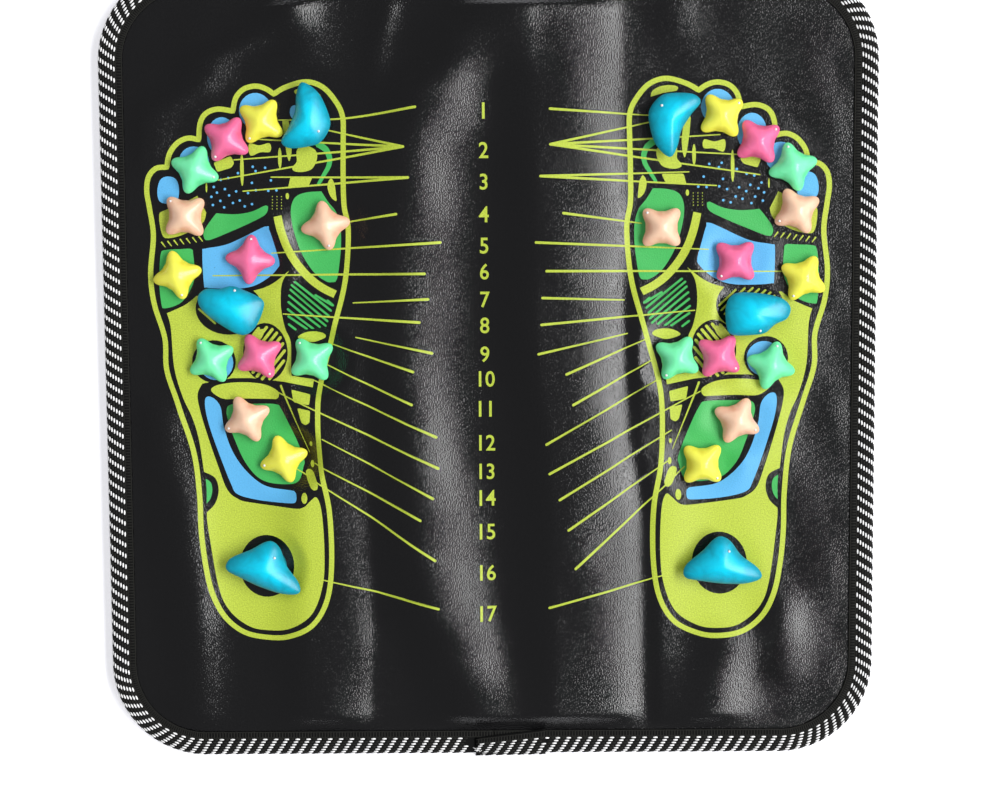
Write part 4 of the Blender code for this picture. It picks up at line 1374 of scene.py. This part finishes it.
def star_rings(total, foot, count):
    """Rings of a star stone: rounded foot edge, upright waist and a soft pillow top, with the painted shade
    of each corner.
    """
    angle, circle = turns(count)
    wave = (1 + np.cos(4 * angle)) / 2
    reach = STAR_WAIST + (STAR_TIP - STAR_WAIST) * wave ** STAR_SHARPNESS
    height = total - foot
    widest = foot + height * STAR_WIDEST
    rings = stem_rings(circle, foot)
    # Painted shade: the hidden stem and head get the full deeper colour, and the foot below the widest
    # outline gets most of it, most at its waists
    shades = [np.ones(count)] * len(rings)
    for t in np.linspace(0, 1, STAR_FOOT_RINGS)[:-1]:
        size = STAR_UNDERSIDE + (1 - STAR_UNDERSIDE) * math.sin(t * math.pi / 2)
        z = foot + height * STAR_WIDEST * (1 - math.cos(t * math.pi / 2))
        rings.append(ring(circle, reach * size, z))
        shades.append(0.9 - 0.3 * wave)
    for t in np.linspace(0, 0.97, STAR_TOP_RINGS):
        size = math.cos(t * math.pi / 2)
        own = size ** STAR_BLEND
        rise = float(dome(size))
        radius = size * (reach * own + STAR_ROUND * (1 - own))
        rings.append(ring(circle, radius, widest + (total - widest) * rise))
        # Painted shade: the top deepens in colour lower down and in the valleys between the arms, where less
        # light falls
        valley = (1 - wave) * math.exp(-((size - 0.72) / 0.2) ** 2)
        shades.append(0.4 * (1 - rise) + 0.2 * valley)
    return rings, shades


def gate_mark(obj, x, y):
    """Rings of a small raised gate mark on top of a stone, where its mould was filled."""
    corners = corners_mm(obj)
    near = np.hypot(corners[:, 0] - x, corners[:, 1] - y)
    z = corners[near < near.min() + 0.7, 2].max() - 0.1
    _, circle = turns(GATE_CORNERS)
    return np.array([ring(circle, r, z + h) + (x, y, 0) for r, h in GATE_PROFILE])


def append_rings(obj, rings):
    """Adds a small closed lofted piece to a finished object's mesh."""
    mesh = bpy.data.meshes.new("addition")
    mesh.from_pydata((rings.reshape(-1, 3) * MM).tolist(), [], [list(f) for f in loft(rings)])
    mesh.shade_smooth()
    extra = bpy.data.objects.new("addition", mesh)
    bpy.context.scene.collection.objects.link(extra)
    with bpy.context.temp_override(active_object=obj, selected_editable_objects=[obj, extra],
                                   selected_objects=[obj, extra], object=obj):
        bpy.ops.object.join()


def make_stone(side, name, make_rings, turn, gate, material):
    """Makes one stone to its solid's height, turned about its stem, with a gate mark off the stem."""
    node = f"{side}_{name}"
    low, high = (corner[2] for corner in box_mm(node))
    rings, shades = make_rings(high - low, STONE_SEAT - low)
    obj = stone_object(f"stone_{node}", rings, shades, STEMS[node], turn, low, material)
    append_rings(obj, gate_mark(obj, *(STEMS[node] + gate)))
    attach(obj, f"{side}_panel")
    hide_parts(node)


def make_star_stones(settings):
    """The stars under both feet, in four colours."""
    finishes = {
        colour: plastic(colour, getattr(settings, colour), linear(deep), 0.35, 0.0, settings.roughness)
        for colour, deep in STAR_SHADOWS.items()
    }
    for index, side in enumerate(SIDES):
        for name, colour in STAR_COLOURS.items():
            turn = star_turn(f"{side}_{name}")
            direction = math.radians(GATE_MARKS[name][index])
            arms = turn + np.arange(4) * math.pi / 2
            arm = arms[np.argmin(np.abs(np.angle(np.exp(1j * (arms - direction)))))]
            gate = STAR_TIP * GATE_REACH * np.array([math.cos(arm), math.sin(arm)])
            make_stone(side, name, lambda total, foot: star_rings(total, foot, settings.segments),
                       turn, gate, finishes[colour])


def polar_outline(points, count):
    """Radius of a closed outline in each of a number of directions from its stem."""
    line = spline(points, step=0.4)
    angle = np.arctan2(line[:, 1], line[:, 0]) % (2 * math.pi)
    radius = np.linalg.norm(line, axis=1)
    order = np.argsort(angle)
    return np.interp(turns(count)[0], angle[order], radius[order], period=2 * math.pi)


def inflate(reach, grid=0.45, rounds=2500):
    """Height of a soft skin blown up over an outline, from 0 at its edge to 1, as a sampling function."""
    size = reach.max() + 2 * grid
    axis = np.arange(-size, size + grid, grid)
    x, y = np.meshgrid(axis, axis)
    angle = np.arctan2(y, x) % (2 * math.pi)
    directions, _ = turns(len(reach))
    edge = np.interp(angle.ravel(), directions, reach, period=2 * math.pi)
    within = np.hypot(x, y) < edge.reshape(x.shape)
    u = np.zeros(x.shape)
    for _ in range(rounds):
        around = (np.roll(u, 1, 0) + np.roll(u, -1, 0) + np.roll(u, 1, 1) + np.roll(u, -1, 1)) / 4
        u = np.where(within, around + grid * grid / 4, 0.0)

    def sample(px, py):
        gx, gy = (px - axis[0]) / grid, (py - axis[0]) / grid
        i, j = np.floor(gx).astype(int), np.floor(gy).astype(int)
        fx, fy = gx - i, gy - j
        values = (u[j, i] * (1 - fx) * (1 - fy) + u[j, i + 1] * fx * (1 - fy)
                  + u[j + 1, i] * (1 - fx) * fy + u[j + 1, i + 1] * fx * fy)
        return values / u.max()

    return sample


def cyan_rings(shape, total, foot, count):
    """Rings of a cyan stone: round pad, overhanging widest outline and a soft ridged top, with the painted
    shade of each corner.
    """
    _, circle = turns(count)
    reach = polar_outline(shape["outline"], count)
    pad = np.full(count, float(shape["pad"]))
    pad_top = foot + CYAN_PAD_HEIGHT
    widest = foot + (total - foot) * CYAN_WIDEST
    rings = stem_rings(circle, foot)
    rings += [ring(circle, pad - 0.4, foot), ring(circle, pad, foot + 0.4), ring(circle, pad, pad_top)]
    for t in (0.35, 0.7, 0.9):
        z = pad_top + (widest - 1.4 - foot - CYAN_PAD_HEIGHT) * t ** 1.5
        rings.append(ring(circle, pad * (1 - t) + reach * CYAN_OVERHANG * t, z))
    for t in np.linspace(0, 1, CYAN_EDGE_RINGS)[:-1]:
        size = CYAN_OVERHANG + (1 - CYAN_OVERHANG) * math.sin(t * math.pi / 2)
        rings.append(ring(circle, reach * size, widest - 1.2 * math.cos(t * math.pi / 2)))
    # Painted shade: the pad and the underside of the overhang get most of the deeper colour, and the top
    # deepens towards its rim
    shades = [np.full(count, 0.9)] * len(rings)
    top, rises = blown_rings(reach, circle, inflate(reach), widest, total)
    return rings + top, shades + [0.8 * (1 - rise) for rise in rises]


def make_cyan_stones(settings):
    """The crescent, the pebble and the peak under both feet."""
    # The deeper cyan goes into the clouds and is painted as shade on the lower sides and towards the rim
    finish = plastic("cyan", settings.cyan, linear("#0098B0"), 0.55, 0.1, settings.roughness + 0.12)
    for index, side in enumerate(SIDES):
        for name, shape in CYAN_SHAPES.items():
            turn = math.radians(shape["turn"][index])
            x, y = shape["gate"]
            gate = (x * math.cos(turn) - y * math.sin(turn), x * math.sin(turn) + y * math.cos(turn))
            make_stone(side, name, lambda total, foot: cyan_rings(shape, total, foot, settings.segments),
                       turn, gate, finish)


# Stage

def make_camera():
    """The camera, set where the photograph was taken from."""
    data = bpy.data.cameras.new("camera")
    data.lens = CAMERA_LENS
    data.sensor_fit = "HORIZONTAL"
    data.sensor_width = CAMERA_SENSOR
    camera = bpy.data.objects.new("camera", data)
    camera.location = CAMERA_PLACE
    camera.rotation_euler = [math.radians(angle) for angle in CAMERA_TURN]
    bpy.context.scene.collection.objects.link(camera)
    bpy.context.scene.camera = camera


def make_lamp(name, place, size, power, mirrored):
    """A soft lamp that faces the middle of the mat, and whether glossy surfaces mirror it."""
    data = bpy.data.lights.new(name, "AREA")
    data.shape = "RECTANGLE"
    data.size, data.size_y = size
    data.energy = power
    lamp = bpy.data.objects.new(name, data)
    lamp.location = place
    lamp.visible_glossy = mirrored
    lamp.rotation_euler = (-Vector(place)).to_track_quat("-Z", "Y").to_euler()
    bpy.context.scene.collection.objects.link(lamp)


def shown_straight(tree):
    """Factor that is 1 for rays from the camera, reflections and glass."""
    path = add_node(tree, "ShaderNodeLightPath")
    first = add_node(tree, "ShaderNodeMath", {"operation": "MAXIMUM"},
                     links={0: path.outputs["Is Camera Ray"], 1: path.outputs["Is Glossy Ray"]})
    both = add_node(tree, "ShaderNodeMath", {"operation": "MAXIMUM"},
                    links={0: first.outputs["Value"], 1: path.outputs["Is Transmission Ray"]})
    return both.outputs["Value"]


def make_stage(settings):
    """The pale floor, the studio light and the camera."""
    scene = bpy.context.scene
    scene.view_settings.view_transform = "Standard"
    make_camera()
    material, tree, shader = new_material("floor_paper_matt", {"Roughness": 0.9, "IOR": 1.4})
    shader.inputs["Base Color"].default_value = rgba(settings.floor)
    glow = add_node(tree, "ShaderNodeEmission", {},
                    {"Color": rgba(settings.floor), "Strength": settings.floor_glow})
    both = add_node(tree, "ShaderNodeAddShader",
                    links={0: shader.outputs["BSDF"], 1: glow.outputs["Emission"]})
    mix = add_node(tree, "ShaderNodeMixShader",
                   links={0: shown_straight(tree), 1: shader.outputs["BSDF"], 2: both.outputs["Shader"]})
    tree.links.new(mix.outputs["Shader"], tree.nodes["Material Output"].inputs["Surface"])
    half = FLOOR_SIZE / 2 / MM
    floor = new_object("floor", [(-half, -half, 0), (half, -half, 0), (half, half, 0), (-half, half, 0)],
                       [(0, 1, 2, 3)], smooth=False)
    floor.location.z = -FLOOR_DROP
    floor.data.materials.append(material)
    world = bpy.data.worlds.new("studio")
    scene.world = world
    world.use_nodes = True
    sky = world.node_tree.nodes["Background"]
    sky.inputs["Color"].default_value = rgba(settings.floor)
    sky.inputs["Strength"].default_value = settings.sky
    make_lamp("key_softbox", KEY_PLACE, KEY_SIZE, settings.key, True)
    make_lamp("fill_softbox", FILL_PLACE, FILL_SIZE, settings.fill, False)


# Settings that a user can change

def colour_property(name, default, description):
    return FloatVectorProperty(name=name, description=description, subtype="COLOR", size=3, min=0, max=1,
                               default=linear(default))


class MatCoverSettings(bpy.types.PropertyGroup):
    """Sizes in millimetres and colours of the printed cover."""
    grain: FloatProperty(name="Grain", description="Width of one pebble of the grain, in millimetres",
                         default=0.65, min=0.2, max=3)
    wave: FloatProperty(name="Waves", description="Height of the soft waves as a share of the real one",
                        default=1.0, min=0, max=2)
    leather_colour: colour_property("Leatherette", "#121213", "Colour of the bare cover")
    lime: colour_property("Lime ink", "#B7C93F", "Colour of the lime print")
    blue: colour_property("Blue ink", "#5BB1E6", "Colour of the light blue print")
    green: colour_property("Green ink", "#3DB156", "Colour of the green print")


class MatBindingSettings(bpy.types.PropertyGroup):
    """Weave sizes in millimetres and colours of the edge tape."""
    stripe_pitch: FloatProperty(name="Stripe pitch", description="Distance between stripes, in millimetres",
                                default=5.15, min=2, max=20)
    stripe_step: FloatProperty(name="Stripe step", description="Shift of the stripe from row to row, in "
                               "millimetres", default=0.8, min=0, max=3)
    row_pitch: FloatProperty(name="Row pitch", description="Distance between rows of floats, in millimetres",
                             default=1.25, min=0.5, max=3)
    float_length: FloatProperty(name="Float length", description="Length of a white float, in millimetres",
                                default=2.6, min=0.5, max=5)
    ground: colour_property("Ground", "#070707", "Colour between the raised yarns")
    black_yarn: colour_property("Black yarn", "#20201D", "Colour of the black yarn and the ribs")
    float_colour: colour_property("White yarn", "#FFFFFF", "Colour of the white yarn")


class MatStoneSettings(bpy.types.PropertyGroup):
    """Finish of the stones."""
    segments: IntProperty(name="Segments", description="Corners round each stone", default=96,
                          min=24, max=256)
    roughness: FloatProperty(name="Roughness", description="Roughness of the polished plastic", default=0.22,
                             min=0, max=1)
    yellow: colour_property("Yellow", "#FFFC62", "Colour of the yellow stars")
    magenta: colour_property("Magenta", "#FF7BAA", "Colour of the magenta stars")
    green: colour_property("Green", "#84FFBC", "Colour of the green stars")
    peach: colour_property("Peach", "#FFD3B6", "Colour of the peach stars")
    cyan: colour_property("Cyan", "#00DDFF", "Colour of the crescent, pebble and peak")


class MatStageSettings(bpy.types.PropertyGroup):
    """Floor and lamps."""
    floor: colour_property("Floor", "#F4F4F8", "Colour of the floor and the studio walls")
    floor_glow: FloatProperty(name="Floor glow", description="Extra brightness of the floor in the picture",
                              default=0.45, min=0, max=1)
    sky: FloatProperty(name="Studio light", description="Strength of the light from all around", default=0.20,
                       min=0, max=3)
    key: FloatProperty(name="Key lamp", description="Power of the lamp on the right", default=104.0, min=0,
                       max=500, unit="POWER")
    fill: FloatProperty(name="Fill lamp", description="Power of the lamp on the left", default=9.0, min=0,
                        max=100, unit="POWER")


class FOOTMAT_OT_stage(bpy.types.Operator):
    """Makes the floor, the lamps and the camera"""
    bl_idname = "footmat.stage"
    bl_label = "Studio"

    def execute(self, context):
        make_stage(context.scene.foot_mat_stage)
        return {"FINISHED"}


class FOOTMAT_OT_cover(bpy.types.Operator):
    """Makes the printed leatherette cover in two halves"""
    bl_idname = "footmat.cover"
    bl_label = "Printed cover"

    def execute(self, context):
        make_cover(context.scene.foot_mat_cover)
        return {"FINISHED"}


class FOOTMAT_OT_layers(bpy.types.Operator):
    """Makes the foam core and the backing"""
    bl_idname = "footmat.layers"
    bl_label = "Foam and backing"

    def execute(self, context):
        make_layers()
        return {"FINISHED"}


class FOOTMAT_OT_binding(bpy.types.Operator):
    """Makes the woven edge binding in two halves"""
    bl_idname = "footmat.binding"
    bl_label = "Edge binding"

    def execute(self, context):
        make_binding(context.scene.foot_mat_binding)
        return {"FINISHED"}


class FOOTMAT_OT_lap_end(bpy.types.Operator):
    """Makes the lapped end of the binding"""
    bl_idname = "footmat.lap_end"
    bl_label = "Lapped end"

    def execute(self, context):
        make_lap_end(context.scene.foot_mat_binding)
        return {"FINISHED"}


class FOOTMAT_OT_star_stones(bpy.types.Operator):
    """Makes the twenty-four star stones"""
    bl_idname = "footmat.star_stones"
    bl_label = "Star stones"

    def execute(self, context):
        make_star_stones(context.scene.foot_mat_stones)
        return {"FINISHED"}


class FOOTMAT_OT_cyan_stones(bpy.types.Operator):
    """Makes the six cyan stones"""
    bl_idname = "footmat.cyan_stones"
    bl_label = "Cyan stones"

    def execute(self, context):
        make_cyan_stones(context.scene.foot_mat_stones)
        return {"FINISHED"}


class FOOTMAT_PT_panel(bpy.types.Panel):
    """Lists the settings and the pieces"""
    bl_idname = "FOOTMAT_PT_panel"
    bl_label = "Foot Mat"
    bl_space_type = "VIEW_3D"
    bl_region_type = "UI"
    bl_category = "Foot Mat"

    def draw(self, context):
        for name, _ in SETTINGS:
            box = self.layout.box()
            group = getattr(context.scene, name)
            for key in group.bl_rna.properties.keys():
                if key not in ("name", "rna_type"):
                    box.prop(group, key)
        for operator in OPERATORS:
            self.layout.operator(operator.bl_idname)


SETTINGS = (
    ("foot_mat_stage", MatStageSettings), ("foot_mat_cover", MatCoverSettings),
    ("foot_mat_binding", MatBindingSettings), ("foot_mat_stones", MatStoneSettings),
)
OPERATORS = (
    FOOTMAT_OT_stage, FOOTMAT_OT_cover, FOOTMAT_OT_layers, FOOTMAT_OT_binding, FOOTMAT_OT_lap_end,
    FOOTMAT_OT_star_stones, FOOTMAT_OT_cyan_stones,
)


def register():
    for name, group in SETTINGS:
        bpy.utils.register_class(group)
        setattr(bpy.types.Scene, name, PointerProperty(type=group))
    for item in (*OPERATORS, FOOTMAT_PT_panel):
        bpy.utils.register_class(item)


def unregister():
    for item in (FOOTMAT_PT_panel, *reversed(OPERATORS)):
        bpy.utils.unregister_class(item)
    for name, group in reversed(SETTINGS):
        delattr(bpy.types.Scene, name)
        bpy.utils.unregister_class(group)


def main():
    register()
    bpy.ops.footmat.stage()
    bpy.ops.footmat.cover()
    bpy.ops.footmat.layers()
    bpy.ops.footmat.binding()
    bpy.ops.footmat.lap_end()
    bpy.ops.footmat.star_stones()
    bpy.ops.footmat.cyan_stones()


if __name__ == "__main__":
    main()
